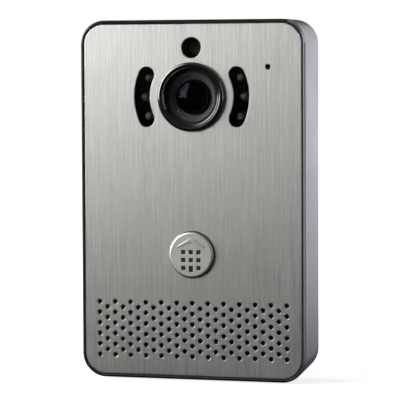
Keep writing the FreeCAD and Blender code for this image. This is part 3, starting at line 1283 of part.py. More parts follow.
# ---- places shared by several pieces ----
HOLDER_BASE_DEPTH = CAMERA_BOARD_DEPTH - HOLDER_BASE_HEIGHT
SWITCH_TOP = BOARD_DEPTH - SWITCH_HEIGHT
PLUNGER_TOP = SWITCH_TOP - PLUNGER_PROUD
SPEAKER_DEPTH = FLOOR_BACK + CLOTH_THICKNESS + SPEAKER_GASKET_THICKNESS
SPEAKER_WIRE_X = 1.5
SPEAKER_WIRE_DEPTH = SPEAKER_DEPTH + SPEAKER_FLANGE_THICKNESS + WIRE_RADIUS
STRAP_DEPTH = SPEAKER_DEPTH + BASKET_DEPTH + YOKE_HEIGHT - BASKET_WALL
CONE_THROAT_DEPTH = STRAP_DEPTH - YOKE_FLOOR - CONE_TRAVEL - COIL_LENGTH - 0.15
LOCK_SEAT_Z = housing_outline(LOCK_SCREW_DEPTH, HOUSING_WALL).BoundBox.ZMin
LOCK_BOSS_TOP = LOCK_SEAT_Z + LOCK_BOSS_HEIGHT
LOCK_TAB_Z = LOCK_BOSS_TOP + LIFT_TRAVEL + LIFT_SPARE
TERMINAL_SCREW_Z = TERMINAL_CENTRE_Z + TERMINAL_HEIGHT / 2 - 2.2
MIC_PLUG_X = MIC_X - 4.0
LAMP_PLUG_X = MIC_PLUG_X - 8.6

NODES = {
    "front_plate": front_plate, "plate_adhesive": plate_adhesive, "chassis": chassis, "housing": housing,
    "housing_gasket": housing_gasket, "housing_screws": housing_screws, "wall_bracket": wall_bracket,
    "lock_screw": lock_screw, "camera_ring": camera_ring, "ring_nut": ring_nut,
    "camera_window": camera_window, "window_seal": window_seal, "lens_shroud": lens_shroud,
    "lens_barrel": lens_barrel, "front_lens": front_lens, "rear_lens": rear_lens,
    "lens_holder": lens_holder, "image_sensor": image_sensor, "camera_board": camera_board,
    "small_screws": small_screws, "lamp_window_left": lambda: lamp_window(-1),
    "lamp_window_right": lambda: lamp_window(1), "light_sensor_window": light_sensor_window,
    "infrared_lamps": infrared_lamps, "light_sensor": light_sensor, "lamp_board": lamp_board,
    "microphone": microphone, "microphone_boot": microphone_boot,
    "button_cap": button_cap, "button_light_guide": button_light_guide, "button_carrier": button_carrier,
    "button_spring": button_spring, "button_retainer": button_retainer,
    "switch_body": switch_body, "switch_plunger": switch_plunger, "button_lamps": button_lamps,
    "grille_cloth": grille_cloth, "speaker_gasket": speaker_gasket, "speaker_frame": speaker_frame,
    "speaker_yoke": speaker_yoke, "speaker_magnet": speaker_magnet, "speaker_cone": speaker_cone,
    "voice_coil": voice_coil, "speaker_surround": speaker_surround, "speaker_strap": speaker_strap,
    "main_board": main_board, "main_board_screws": main_board_screws,
    "board_chips": board_chips, "wifi_module": wifi_module, "capacitors": capacitors,
    "power_inductor": power_inductor, "connectors": connectors, "terminal_block": terminal_block,
    "terminal_screws": terminal_screws, "speaker_wires": speaker_wires,
    "microphone_wires": microphone_wires, "lamp_board_wires": lamp_board_wires,
    "camera_ribbon": camera_ribbon,
}


def main():
    os.makedirs("parts", exist_ok=True)
    for name, build in NODES.items():
        made = build()
        solids = made if isinstance(made, list) else [made]
        shape = Part.makeCompound([s for piece in solids for s in piece.Solids])
        shape.exportStep(os.path.join("parts", name + ".step"))
        box = shape.BoundBox
        print(f"{name:22s} solids {len(shape.Solids)} valid {shape.isValid()} volume {shape.Volume:9.1f}"
              f"  x {box.XMin:7.2f} {box.XMax:7.2f}  y {box.YMin:7.2f} {box.YMax:7.2f}"
              f"  z {box.ZMin:7.2f} {box.ZMax:7.2f}")


main()
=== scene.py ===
"""Outdoor door intercom panel: a brushed steel face in a silver housing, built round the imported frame.

Metres throughout. X runs to the viewer's right, Y into the wall and Z up; the face looks along -Y.
"Depth" means the distance behind the front plate's face.
"""

import json
import logging
import math
from dataclasses import dataclass
from enum import Enum
from typing import Callable, Iterable, Protocol, Sequence

import bmesh
import bpy
from mathutils import Matrix, Vector


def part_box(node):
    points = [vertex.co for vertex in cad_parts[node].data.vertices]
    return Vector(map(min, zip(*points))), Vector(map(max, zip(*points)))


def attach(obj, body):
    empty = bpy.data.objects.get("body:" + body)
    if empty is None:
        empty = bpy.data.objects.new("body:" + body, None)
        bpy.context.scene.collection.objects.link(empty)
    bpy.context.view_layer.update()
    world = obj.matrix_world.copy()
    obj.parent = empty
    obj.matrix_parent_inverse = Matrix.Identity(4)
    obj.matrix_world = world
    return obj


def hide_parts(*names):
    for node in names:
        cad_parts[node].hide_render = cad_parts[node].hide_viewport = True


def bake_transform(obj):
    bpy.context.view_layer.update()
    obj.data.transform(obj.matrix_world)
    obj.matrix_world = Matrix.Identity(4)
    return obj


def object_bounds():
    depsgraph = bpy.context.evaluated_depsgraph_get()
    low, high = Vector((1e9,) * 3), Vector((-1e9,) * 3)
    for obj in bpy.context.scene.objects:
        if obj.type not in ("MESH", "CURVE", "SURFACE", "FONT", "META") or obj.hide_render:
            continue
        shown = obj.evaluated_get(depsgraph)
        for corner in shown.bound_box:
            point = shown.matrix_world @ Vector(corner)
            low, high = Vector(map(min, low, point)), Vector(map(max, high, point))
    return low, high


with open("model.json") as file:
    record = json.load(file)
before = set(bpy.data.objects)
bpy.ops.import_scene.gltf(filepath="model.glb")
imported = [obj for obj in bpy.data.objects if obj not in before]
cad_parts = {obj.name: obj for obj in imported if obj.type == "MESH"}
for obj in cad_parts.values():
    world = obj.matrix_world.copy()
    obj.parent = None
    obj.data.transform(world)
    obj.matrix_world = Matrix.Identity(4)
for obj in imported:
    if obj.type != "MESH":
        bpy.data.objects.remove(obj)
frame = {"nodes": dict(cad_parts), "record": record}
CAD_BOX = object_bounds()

logging.basicConfig(level=logging.INFO, format="%(levelname)s %(message)s")
LOG = logging.getLogger("door_intercom")

MM = 0.001
WELD = 2e-6
SMOOTH_BELOW = math.radians(28)
FINE_TURN = 128
CORNER_EASE = 0.00012
ON_AXIS = 1e-9
LEANS_FORWARD = 0.3
LEANS_RIGHT = 0.2
FLAT_WITHIN = math.radians(0.6)

Colour = tuple[float, float, float, float]
Profile = Sequence[tuple[float, float]]


def tone(red: float, green: float, blue: float) -> Colour:
    """Turns a paint chart's 0 to 255 values into a linear colour.

    Args:
        red: Red share.
        green: Green share.
        blue: Blue share.

    Returns:
        The linear colour, opaque.
    """

    def linear(share: float) -> float:
        """One channel, made linear."""
        share /= 255
        return share / 12.92 if share <= 0.04045 else ((share + 0.055) / 1.055) ** 2.4

    return linear(red), linear(green), linear(blue), 1.0


class Body(Enum):
    """The bodies that pieces ride on."""

    BRACKET = "bracket"
    PANEL = "panel"
    BUTTON = "button"
    LOCK = "lock"


class Brush(Enum):
    """Which way a brushed finish runs."""

    UPRIGHT = (1.0, 1.0, 0.0)
    ALONG_X = (0.0, 1.0, 1.0)


# ---- trees of nodes ----
class NodeGraph:
    """Adds and joins the nodes of one tree."""

    def __init__(self, tree: bpy.types.NodeTree) -> None:
        """Keeps the tree that nodes go into."""
        self.tree = tree

    def add(self, kind: str, feeds: dict | None = None, **settings: object) -> bpy.types.Node:
        """Adds a node.

        Args:
            kind: The node's class name.
            feeds: Input name or number to a plain value, a node or an output socket.
            **settings: The node's own options.

        Returns:
            The new node.
        """
        node = self.tree.nodes.new(kind)
        for option, value in settings.items():
            setattr(node, option, value)
        for socket, value in (feeds or {}).items():
            self.feed(node, socket, value)
        return node

    def feed(self, node: bpy.types.Node, socket: str | int, value: object) -> None:
        """Sets or links one input.

        Args:
            node: The node to feed.
            socket: The input's name or number.
            value: A plain value, a node (its first output is used) or an output socket.
        """
        target = node.inputs[socket]
        if isinstance(value, bpy.types.Node):
            value = next(out for out in value.outputs if out.enabled)
        if isinstance(value, bpy.types.NodeSocket):
            self.tree.links.new(value, target)
        else:
            target.default_value = value

    def maths(self, operation: str, *values: object) -> bpy.types.Node:
        """A Math node of that operation on those values."""
        return self.add("ShaderNodeMath", dict(enumerate(values)), operation=operation)

    def point(self, x: object = 0.0, y: object = 0.0, z: object = 0.0) -> bpy.types.Node:
        """A Combine XYZ node."""
        return self.add("ShaderNodeCombineXYZ", {0: x, 1: y, 2: z})


def new_group(
    name: str, kind: str, inputs: Sequence[tuple], outputs: Sequence[tuple[str, str]]
) -> tuple[NodeGraph, bpy.types.Node, bpy.types.Node]:
    """Starts a node group with named sockets.

    Args:
        name: The group's name.
        kind: "ShaderNodeTree" or "GeometryNodeTree".
        inputs: (name, socket type) or (name, socket type, starting value).
        outputs: (name, socket type).

    Returns:
        The graph, its group input node and its group output node.
    """
    tree = bpy.data.node_groups.new(name, kind)
    for entry in inputs:
        socket = tree.interface.new_socket(entry[0], in_out="INPUT", socket_type=entry[1])
        if len(entry) > 2:
            socket.default_value = entry[2]
    for label, socket_type in outputs:
        tree.interface.new_socket(label, in_out="OUTPUT", socket_type=socket_type)
    graph = NodeGraph(tree)
    return graph, graph.add("NodeGroupInput"), graph.add("NodeGroupOutput")


FLOAT = "NodeSocketFloat"
COUNT = "NodeSocketInt"
GEOMETRY = "NodeSocketGeometry"
MATERIAL = "NodeSocketMaterial"


class Effects:
    """Surface effects that several finishes share, each built once as a group."""

    def __init__(self) -> None:
        """Builds every group."""
        self.grain = self._grain()
        self.speckle = self._speckle()
        self.wear = self._wear()
        self.dust = self._dust()

    @staticmethod
    def _grain() -> bpy.types.NodeTree:
        """Long brushed streaks: fine scratches over slow bands.

        Returns:
            The group's tree.
        """
        graph, given, out = new_group(
            "BrushedGrain", "ShaderNodeTree",
            [("Stretch X", FLOAT, 1.0), ("Stretch Y", FLOAT, 1.0), ("Stretch Z", FLOAT, 1.0),
             ("Fine Scale", FLOAT, 4000.0), ("Band Share", FLOAT, 0.3)],
            [("Streaks", FLOAT)])
        place = graph.add("ShaderNodeTexCoord").outputs["Object"]
        stretch = graph.point(given.outputs[0], given.outputs[1], given.outputs[2])
        pulled = graph.add("ShaderNodeVectorMath", {0: place, 1: stretch}, operation="MULTIPLY")
        fine = graph.add("ShaderNodeTexNoise", {"Vector": pulled, "Scale": given.outputs["Fine Scale"],
                                                "Detail": 3.0, "Roughness": 0.7})
        slow = graph.maths("MULTIPLY", given.outputs["Fine Scale"], 0.3)
        bands = graph.add("ShaderNodeTexNoise", {"Vector": pulled, "Scale": slow, "Detail": 2.0})
        mixed = graph.add("ShaderNodeMix", {"Factor": given.outputs["Band Share"],
                                            "A": fine.outputs[0], "B": bands.outputs[0]})
        graph.feed(out, "Streaks", mixed)
        return graph.tree

    @staticmethod
    def _speckle() -> bpy.types.NodeTree:
        """A fine stipple with slow patches under it.

        Returns:
            The group's tree.
        """
        graph, given, out = new_group(
            "FineSpeckle", "ShaderNodeTree",
            [("Scale", FLOAT, 3000.0), ("Patch Scale", FLOAT, 60.0)],
            [("Height", FLOAT), ("Patches", FLOAT)])
        place = graph.add("ShaderNodeTexCoord").outputs["Object"]
        stipple = graph.add("ShaderNodeTexNoise", {"Vector": place, "Scale": given.outputs["Scale"],
                                                   "Detail": 2.0, "Roughness": 0.6})
        patches = graph.add("ShaderNodeTexNoise", {"Vector": place, "Scale": given.outputs["Patch Scale"],
                                                   "Detail": 3.0})
        graph.feed(out, "Height", stipple.outputs[0])
        graph.feed(out, "Patches", patches.outputs[0])
        return graph.tree

    @staticmethod
    def _wear() -> bpy.types.NodeTree:
        """A mask of edges that hands have rubbed, broken up by noise.

        Returns:
            The group's tree.
        """
        graph, given, out = new_group(
            "EdgeWear", "ShaderNodeTree",
            [("Reach", FLOAT, 0.0003), ("Gain", FLOAT, 4.0), ("Breakup Scale", FLOAT, 900.0)],
            [("Mask", FLOAT)])
        eased = graph.add("ShaderNodeBevel", {"Radius": given.outputs["Reach"]}, samples=4)
        flat = graph.add("ShaderNodeNewGeometry").outputs["Normal"]
        same = graph.add("ShaderNodeVectorMath", {0: eased, 1: flat}, operation="DOT_PRODUCT")
        turned = graph.maths("SUBTRACT", 1.0, same.outputs["Value"])
        place = graph.add("ShaderNodeTexCoord").outputs["Object"]
        noise = graph.add("ShaderNodeTexNoise", {"Vector": place, "Scale": given.outputs["Breakup Scale"],
                                                 "Detail": 3.0})
        gained = graph.maths("MULTIPLY", turned, given.outputs["Gain"])
        broken = graph.maths("MULTIPLY", gained, noise.outputs[0])
        broken.use_clamp = True
        graph.feed(out, "Mask", broken)
        return graph.tree

    @staticmethod
    def _dust() -> bpy.types.NodeTree:
        """A mask of fine dust that lies on upward faces.

        Returns:
            The group's tree.
        """
        graph, given, out = new_group(
            "SettledDust", "ShaderNodeTree",
            [("Amount", FLOAT, 0.2), ("Scale", FLOAT, 400.0)], [("Mask", FLOAT)])
        normal = graph.add("ShaderNodeNewGeometry").outputs["Normal"]
        upward = graph.add("ShaderNodeSeparateXYZ", {0: normal}).outputs[2]
        lying = graph.add("ShaderNodeMapRange", {0: upward, 1: 0.2, 2: 1.0, 3: 0.0, 4: 1.0})
        place = graph.add("ShaderNodeTexCoord").outputs["Object"]
        noise = graph.add("ShaderNodeTexNoise", {"Vector": place, "Scale": given.outputs["Scale"],
                                                 "Detail": 4.0})
        patchy = graph.maths("MULTIPLY", lying, noise.outputs[0])
        graph.feed(out, "Mask", graph.maths("MULTIPLY", patchy, given.outputs["Amount"]))
        return graph.tree


EFFECTS = Effects()


# ---- finishes ----
class PaintBench:
    """Starts a material, with its one shader, and adds the shared effects to it."""

    def __init__(self, name: str) -> None:
        """Makes the material, empty but for its shader and output.

        Args:
            name: The material's name.
        """
        self.material = bpy.data.materials.new(name)
        self.material.use_nodes = True
        self.material.node_tree.nodes.clear()
        self.graph = NodeGraph(self.material.node_tree)
        self.output = self.graph.add("ShaderNodeOutputMaterial")
        self.shader = self.graph.add("ShaderNodeBsdfPrincipled")
        self.graph.feed(self.output, 0, self.shader)

    def set(self, **constants: float | Colour) -> None:
        """Sets plain values on the shader.

        Args:
            **constants: Values by input name; an underscore stands for a space.
        """
        for name, value in constants.items():
            self.shader.inputs[name.replace("_", " ")].default_value = value

    def effect(self, group: bpy.types.NodeTree, **values: float) -> bpy.types.Node:
        """Places a shared effect.

        Args:
            group: The effect's node group.
            **values: Its inputs; an underscore stands for a space.

        Returns:
            The group's node.
        """
        node = self.graph.add("ShaderNodeGroup", node_tree=group)
        for name, value in values.items():
            node.inputs[name.replace("_", " ")].default_value = value
        return node

    def blend(self, mask: bpy.types.NodeSocket, low: object, high: object) -> bpy.types.NodeSocket:
        """A colour that goes from low to high with the mask.

        Args:
            mask: What decides, from 0 to 1.
            low: Colour or socket at 0.
            high: Colour or socket at 1.

        Returns:
            The mixed colour.
        """
        node = self.graph.add("ShaderNodeMix", {0: mask, 6: low, 7: high}, data_type="RGBA")
        return node.outputs[2]

    def spread(self, value: bpy.types.NodeSocket, low: float, high: float,
               start: float = 0.3, end: float = 0.7) -> bpy.types.NodeSocket:
        """A value stretched to a new range.

        Args:
            value: The value's socket.
            low: What start becomes.
            high: What end becomes.
            start: The value's low end.
            end: The value's high end.

        Returns:
            The stretched value.
        """
        node = self.graph.add("ShaderNodeMapRange", {0: value, 1: start, 2: end, 3: low, 4: high})
        return node.outputs[0]

    def bump(self, height: bpy.types.NodeSocket, rise: float, strength: float = 1.0) -> None:
        """Feeds the shader's normal from a height.

        Args:
            height: The height's socket, 0 to 1.
            rise: How far 1 stands above 0, in metres.
            strength: The bump's strength.
        """
        eased = self.graph.add("ShaderNodeBevel", {"Radius": CORNER_EASE}, samples=4)
        node = self.graph.add("ShaderNodeBump", {"Height": height, "Distance": rise, "Strength": strength,
                                                 "Normal": eased})
        self.graph.feed(self.shader, "Normal", node)

    def let_lamps_through(self) -> None:
        """Lets rays from lamps pass, so that what is behind the glass is lit."""
        clear = self.graph.add("ShaderNodeBsdfTransparent")
        path = self.graph.add("ShaderNodeLightPath").outputs["Is Shadow Ray"]
        mix = self.graph.add("ShaderNodeMixShader", {0: path, 1: self.shader, 2: clear})
        self.graph.feed(self.output, 0, mix)


def shade(colour: Colour, factor: float) -> Colour:
    """The colour, darker or lighter by a factor."""
    return tuple(min(1.0, part * factor) for part in colour[:3]) + (1.0,)


class Finish(Protocol):
    """Anything that can paint a material."""

    def paint(self, name: str) -> bpy.types.Material:
        """Returns the finish's material under that name."""


@dataclass(frozen=True)
class BrushedMetal:
    """Metal brushed one way: streaks in colour, roughness and height."""

    colour: Colour
    roughness: float = 0.36
    brush: Brush = Brush.UPRIGHT
    fine: float = 7000.0
    pull: float = 0.012
    contrast: float = 0.1
    lean: float = 0.6
    rise: float = 1.5e-6
    metallic: float = 1.0

    def paint(self, name: str) -> bpy.types.Material:
        """Paints the brushed material.

        Args:
            name: The material's name.

        Returns:
            The material.
        """
        bench = PaintBench(name)
        bench.set(Metallic=self.metallic, Anisotropic=self.lean)
        ways = [self.pull if way == 0 else 1.0 for way in self.brush.value]
        grain = bench.effect(EFFECTS.grain, Stretch_X=ways[0], Stretch_Y=ways[1], Stretch_Z=ways[2],
                             Fine_Scale=self.fine)
        streaks = grain.outputs["Streaks"]
        worn = bench.effect(EFFECTS.wear, Reach=0.00025, Gain=3.0).outputs[0]
        steel = bench.blend(bench.spread(streaks, 0.0, 1.0), shade(self.colour, 1 - self.contrast),
                            shade(self.colour, 1 + self.contrast))
        bench.graph.feed(bench.shader, "Base Color", bench.blend(worn, steel, shade(self.colour, 1.35)))
        bench.graph.feed(bench.shader, "Roughness",
                         bench.spread(streaks, self.roughness - 0.05, self.roughness + 0.06))
        bench.bump(streaks, self.rise, 0.6)
        return bench.material


@dataclass(frozen=True)
class SatinMetal:
    """Coated or plated metal: a stipple, slow patches, rubbed edges and a little dust."""

    colour: Colour
    roughness: float = 0.4
    metallic: float = 1.0
    stipple: float = 5200.0
    rise: float = 1.5e-6
    patch: float = 0.05
    wear_colour: Colour = (0.75, 0.75, 0.76, 1.0)
    wear: float = 2.0
    dust: float = 0.15
    gloss: float = 0.5

    def paint(self, name: str) -> bpy.types.Material:
        """Paints the satin material.

        Args:
            name: The material's name.

        Returns:
            The material.
        """
        bench = PaintBench(name)
        bench.set(Metallic=self.metallic, Specular_IOR_Level=self.gloss)
        speckle = bench.effect(EFFECTS.speckle, Scale=self.stipple)
        patches = speckle.outputs["Patches"]
        coat = bench.blend(bench.spread(patches, 0.0, 1.0), shade(self.colour, 1 - self.patch),
                           shade(self.colour, 1 + self.patch))
        worn = bench.effect(EFFECTS.wear, Gain=self.wear).outputs[0]
        rubbed = bench.blend(worn, coat, self.wear_colour)
        dusty = bench.effect(EFFECTS.dust, Amount=self.dust).outputs[0]
        bench.graph.feed(bench.shader, "Base Color", bench.blend(dusty, rubbed, tone(196, 192, 184)))
        bench.graph.feed(bench.shader, "Roughness",
                         bench.spread(patches, self.roughness - 0.04, self.roughness + 0.05))
        bench.bump(speckle.outputs["Height"], self.rise, 0.5)
        return bench.material


@dataclass(frozen=True)
class Moulded:
    """Plastic, rubber, resin or insulation: a grained skin with paler rubbed edges."""

    colour: Colour
    roughness: float = 0.5
    skin: float = 3600.0
    rise: float = 4e-6
    wear: float = 1.2
    coat: float = 0.0
    dust: float = 0.1

    def paint(self, name: str) -> bpy.types.Material:
        """Paints the moulded material.

        Args:
            name: The material's name.

        Returns:
            The material.
        """
        bench = PaintBench(name)
        bench.set(Coat_Weight=self.coat, Coat_Roughness=0.12)
        speckle = bench.effect(EFFECTS.speckle, Scale=self.skin, Patch_Scale=140.0)
        base = bench.blend(bench.spread(speckle.outputs["Patches"], 0.0, 1.0), shade(self.colour, 0.86),
                           shade(self.colour, 1.16))
        worn = bench.effect(EFFECTS.wear, Gain=self.wear).outputs[0]
        pale = tuple(min(1.0, part * 1.5 + 0.05) for part in self.colour[:3]) + (1.0,)
        rubbed = bench.blend(worn, base, pale)
        dusty = bench.effect(EFFECTS.dust, Amount=self.dust).outputs[0]
        bench.graph.feed(bench.shader, "Base Color", bench.blend(dusty, rubbed, tone(150, 146, 138)))
        patchy = bench.spread(speckle.outputs["Patches"], self.roughness - 0.06, self.roughness + 0.06)
        bench.graph.feed(bench.shader, "Roughness", patchy)
        bench.bump(speckle.outputs["Height"], self.rise, 0.5)
        return bench.material


@dataclass(frozen=True)
class ClearMaterial:
    """Glass or clear resin, faintly smeared, tinted by its colour."""

    colour: Colour
    roughness: float = 0.02
    bend: float = 1.5
    clearness: float = 1.0
    gloss_tint: Colour = (1.0, 1.0, 1.0, 1.0)
    coat: float = 0.0

    def paint(self, name: str) -> bpy.types.Material:
        """Paints the clear material.

        Args:
            name: The material's name.

        Returns:
            The material.
        """
        bench = PaintBench(name)
        bench.set(Transmission_Weight=self.clearness, IOR=self.bend, Specular_Tint=self.gloss_tint,
                  Coat_Weight=self.coat)
        speckle = bench.effect(EFFECTS.speckle, Scale=900.0, Patch_Scale=180.0)
        bench.graph.feed(bench.shader, "Roughness",
                         bench.spread(speckle.outputs["Patches"], self.roughness, self.roughness + 0.03))
        dusty = bench.effect(EFFECTS.dust, Amount=0.12).outputs[0]
        bench.graph.feed(bench.shader, "Base Color",
                         bench.blend(dusty, self.colour, shade(self.colour, 1.4)))
        bench.let_lamps_through()
        return bench.material


@dataclass(frozen=True)
class BoardFinish:
    """A circuit board: solder mask over a maze of copper tracks, with bright tinned dots."""

    mask: Colour
    track: Colour
    pitch: float = 420.0

    def paint(self, name: str) -> bpy.types.Material:
        """Paints the board material.

        Args:
            name: The material's name.

        Returns:
            The material.
        """
        bench = PaintBench(name)
        graph = bench.graph
        place = graph.add("ShaderNodeTexCoord").outputs["Object"]
        cells = graph.add("ShaderNodeTexVoronoi", {"Vector": place, "Scale": self.pitch},
                          distance="CHEBYCHEV", feature="F1")
        tracks = bench.spread(cells.outputs["Distance"], 1.0, 0.0, 0.34, 0.42)
        dots = graph.add("ShaderNodeTexVoronoi", {"Vector": place, "Scale": self.pitch * 0.6})
        pads = bench.spread(dots.outputs["Distance"], 1.0, 0.0, 0.1, 0.14)
        base = bench.blend(tracks, self.mask, self.track)
        graph.feed(bench.shader, "Base Color", bench.blend(pads, base, tone(190, 188, 180)))
        graph.feed(bench.shader, "Metallic", pads)
        speckle = bench.effect(EFFECTS.speckle, Patch_Scale=200.0)
        graph.feed(bench.shader, "Roughness", bench.spread(speckle.outputs["Patches"], 0.3, 0.42))
        bench.bump(tracks, 2e-5, 0.5)
        return bench.material


@dataclass(frozen=True)
class WovenFinish:
    """A square mesh cloth, seen through the sound holes."""

    thread: Colour
    gap: Colour
    pitch: float = 0.00035

    def paint(self, name: str) -> bpy.types.Material:
        """Paints the woven material.

        Args:
            name: The material's name.

        Returns:
            The material.
        """
        bench = PaintBench(name)
        graph = bench.graph
        place = graph.add("ShaderNodeTexCoord").outputs["Object"]
        parts = graph.add("ShaderNodeSeparateXYZ", {0: place})
        turns = [graph.maths("MULTIPLY", parts.outputs[axis], math.pi / self.pitch) for axis in (0, 2)]
        waves = [graph.maths("ABSOLUTE", graph.maths("SINE", turn)) for turn in turns]
        weave = graph.maths("MAXIMUM", waves[0], waves[1])
        speckle = bench.effect(EFFECTS.speckle, Scale=4000.0)
        base = bench.blend(weave.outputs[0], self.gap, self.thread)
        faded = bench.spread(speckle.outputs["Patches"], 0.0, 0.3)
        graph.feed(bench.shader, "Base Color", bench.blend(faded, base, shade(self.thread, 1.6)))
        graph.feed(bench.shader, "Roughness", bench.spread(speckle.outputs["Height"], 0.75, 0.95))
        bench.bump(weave.outputs[0], 6e-5, 0.8)
        return bench.material


FINISHES: dict[str, Finish] = {
    "brushed_face": BrushedMetal(tone(212, 211, 208), roughness=0.4, contrast=0.28),
    "satin_silver": SatinMetal(tone(190, 189, 198), roughness=0.4, metallic=0.8, dust=0.04),
    # Near-black painted shade for the steel plate's upright hole walls and edge wall, standing in for the
    # shade inside the holes.
    "hole_wall_painted_shade": Moulded(tone(10, 10, 10), roughness=0.8, wear=0.0, dust=0.0),
    "black_plastic": Moulded(tone(24, 24, 26), roughness=0.5),
    # Near-black for the housing's silver front bevel: partly the dark joint round the plate, partly painted
    # shade on the sides facing away from the lamps.
    "rim_painted_shade": Moulded(tone(8, 8, 9), roughness=0.6, wear=0.15, dust=0.0),
    "grey_plastic": Moulded(tone(150, 152, 154), roughness=0.55),
    "foam_tape": Moulded(tone(46, 46, 46), roughness=0.95, skin=2200.0, rise=4e-5, wear=0.0),
    "black_rubber": Moulded(tone(26, 26, 26), roughness=0.8, wear=0.6),
    "steel_screw": SatinMetal(tone(196, 197, 200), roughness=0.3, stipple=3000.0, wear=3.0, dust=0.05),
    "zinc_sheet": SatinMetal(tone(186, 189, 194), roughness=0.38, stipple=1400.0, patch=0.14, wear=3.0),
    "dark_chrome": SatinMetal(tone(112, 110, 110), roughness=0.12, stipple=7000.0, rise=3e-7, patch=0.03,
                              wear=0.3, dust=0.0),
    "window_glass": ClearMaterial(tone(250, 251, 253), roughness=0.0, bend=1.12),
    "lens_glass": ClearMaterial(tone(120, 122, 150), roughness=0.0, bend=1.34,
                                gloss_tint=(0.14, 0.15, 0.2, 1.0)),
    "smoked_plastic": ClearMaterial(tone(158, 152, 149), roughness=0.03, bend=1.3),
    "black_metal": SatinMetal(tone(9, 9, 10), roughness=0.55, wear=0.2, metallic=0.0, dust=0.0,
                              wear_colour=tone(30, 30, 31), gloss=0.02),
    "board_green": BoardFinish(tone(14, 66, 36), tone(32, 104, 58)),
    "chip_black": Moulded(tone(34, 34, 36), roughness=0.45),
    "sensor_glass": Moulded(tone(48, 66, 84), roughness=0.12, coat=1.0, wear=0.0),
    "lamp_clear": ClearMaterial(tone(238, 226, 214), roughness=0.05, bend=1.53, clearness=0.35, coat=0.6),
    "light_guide": Moulded(tone(8, 8, 9), roughness=0.7, wear=0.0, dust=0.0),
    "cap_metal": SatinMetal(tone(214, 212, 208), roughness=0.42, stipple=6000.0, patch=0.04, wear=1.5,
                            dust=0.0),
    "spring_steel": SatinMetal(tone(170, 171, 174), roughness=0.3, dust=0.0),
    "cloth": WovenFinish(tone(26, 26, 27), tone(6, 6, 6)),
    "pressed_steel": SatinMetal(tone(170, 172, 174), roughness=0.36, patch=0.1),
    "magnet": SatinMetal(tone(138, 138, 142), roughness=0.28, patch=0.08),
    "cone_film": Moulded(tone(66, 60, 50), roughness=0.35, coat=0.3),
    "coil_copper": BrushedMetal(tone(186, 106, 62), roughness=0.3, brush=Brush.ALONG_X, fine=9000.0),
    "can_steel": BrushedMetal(tone(196, 196, 194), roughness=0.28, brush=Brush.ALONG_X),
    "capacitor_blue": Moulded(tone(34, 44, 78), roughness=0.3, coat=0.4),
    "ferrite": Moulded(tone(66, 66, 70), roughness=0.6),
    "connector_white": Moulded(tone(222, 218, 204), roughness=0.4),
    "terminal_green": Moulded(tone(34, 128, 70), roughness=0.42),
    "wire_red": Moulded(tone(150, 34, 28), roughness=0.35, coat=0.2),
    "ribbon": Moulded(tone(210, 208, 198), roughness=0.4),
    "lamp_white": Moulded(tone(228, 222, 176), roughness=0.25, coat=0.6),
}


# ---- mesh work ----
def part_slot(node: str) -> str:
    """The material slot that the record gives a CAD node."""
    return next(part["material_slot"] for part in frame["record"]["subparts"] if part["node"] == node)


class Workshop:
    """Holds the materials made so far and turns meshes into finished pieces."""

    def __init__(self) -> None:
        """Starts with no materials and nothing finished."""
        self.materials: dict[str, bpy.types.Material] = {}
        self.replaced: set[str] = set()

    def material(self, slot: str) -> bpy.types.Material:
        """The slot's material, painted the first time it is asked for.

        Args:
            slot: The material slot.

        Returns:
            The material.
        """
        if slot not in self.materials:
            self.materials[slot] = FINISHES[slot].paint(slot)
        return self.materials[slot]

    def settle(self, mesh: bpy.types.Mesh, name: str, nodes: Sequence[str], body: Body | None,
               slot: str | None = None) -> bpy.types.Object:
        """Makes a piece of a finished mesh and tells the frame about it.

        Args:
            mesh: The finished mesh, in place.
            name: The piece's name.
            nodes: The CAD nodes that it stands for.
            body: The body that it rides on, or None to leave it on no body.
            slot: The material slot, or None for its first node's own.

        Returns:
            The piece's object.
        """
        slot = slot or part_slot(nodes[0])
        mesh.name = name
        if len(mesh.materials) < 2:
            mesh.materials.clear()
            mesh.materials.append(self.material(slot))
        piece = bpy.data.objects.new(name, mesh)
        bpy.context.scene.collection.objects.link(piece)
        if body is not None:
            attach(piece, body.value)
        if nodes:
            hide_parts(*nodes)
            self.replaced.update(nodes)
        LOG.info("%s: %d faces, rides on %s, finish %s", name, len(mesh.polygons), body, slot)
        return piece

    def dress_frame(self) -> None:
        """Gives every CAD node that still shows the material of its slot."""
        for node, thing in frame["nodes"].items():
            if node in self.replaced:
                continue
            material = self.material(part_slot(node))
            if not thing.material_slots:
                thing.data.materials.append(material)
            for place in thing.material_slots:
                place.material = material
            LOG.info("%s: kept, finish %s", node, part_slot(node))


WORKSHOP = Workshop()


def tidy_mesh(shape: bmesh.types.BMesh, name: str, weld: float = WELD) -> bpy.types.Mesh:
    """Welds a shape, turns its faces outwards and marks its sharp edges.

    Args:
        shape: The shape; it is freed.
        name: The mesh's name.
        weld: Points nearer than this become one.

    Returns:
        The mesh.
    """
    bmesh.ops.remove_doubles(shape, verts=shape.verts, dist=weld)
    bmesh.ops.recalc_face_normals(shape, faces=shape.faces)
    mesh = bpy.data.meshes.new(name)
    shape.to_mesh(mesh)
    shape.free()
    mesh.shade_smooth()
    mesh.set_sharp_from_angle(angle=SMOOTH_BELOW)
    return mesh


def arc(centre: tuple[float, float], radius: float, start: float, end: float, steps: int) -> list:
    """Points of an arc in a profile.

    Args:
        centre: (radius, depth) of the arc's centre.
        radius: The arc's own radius.
        start: First angle in degrees; 0 is outwards and 90 is deeper.
        end: Last angle in degrees.
        steps: How many chords.

    Returns:
        (radius, depth) points.
    """
    points = []
    for i in range(steps + 1):
        angle = math.radians(start + (end - start) * i / steps)
        points.append((centre[0] + radius * math.cos(angle), centre[1] + radius * math.sin(angle)))
    return points


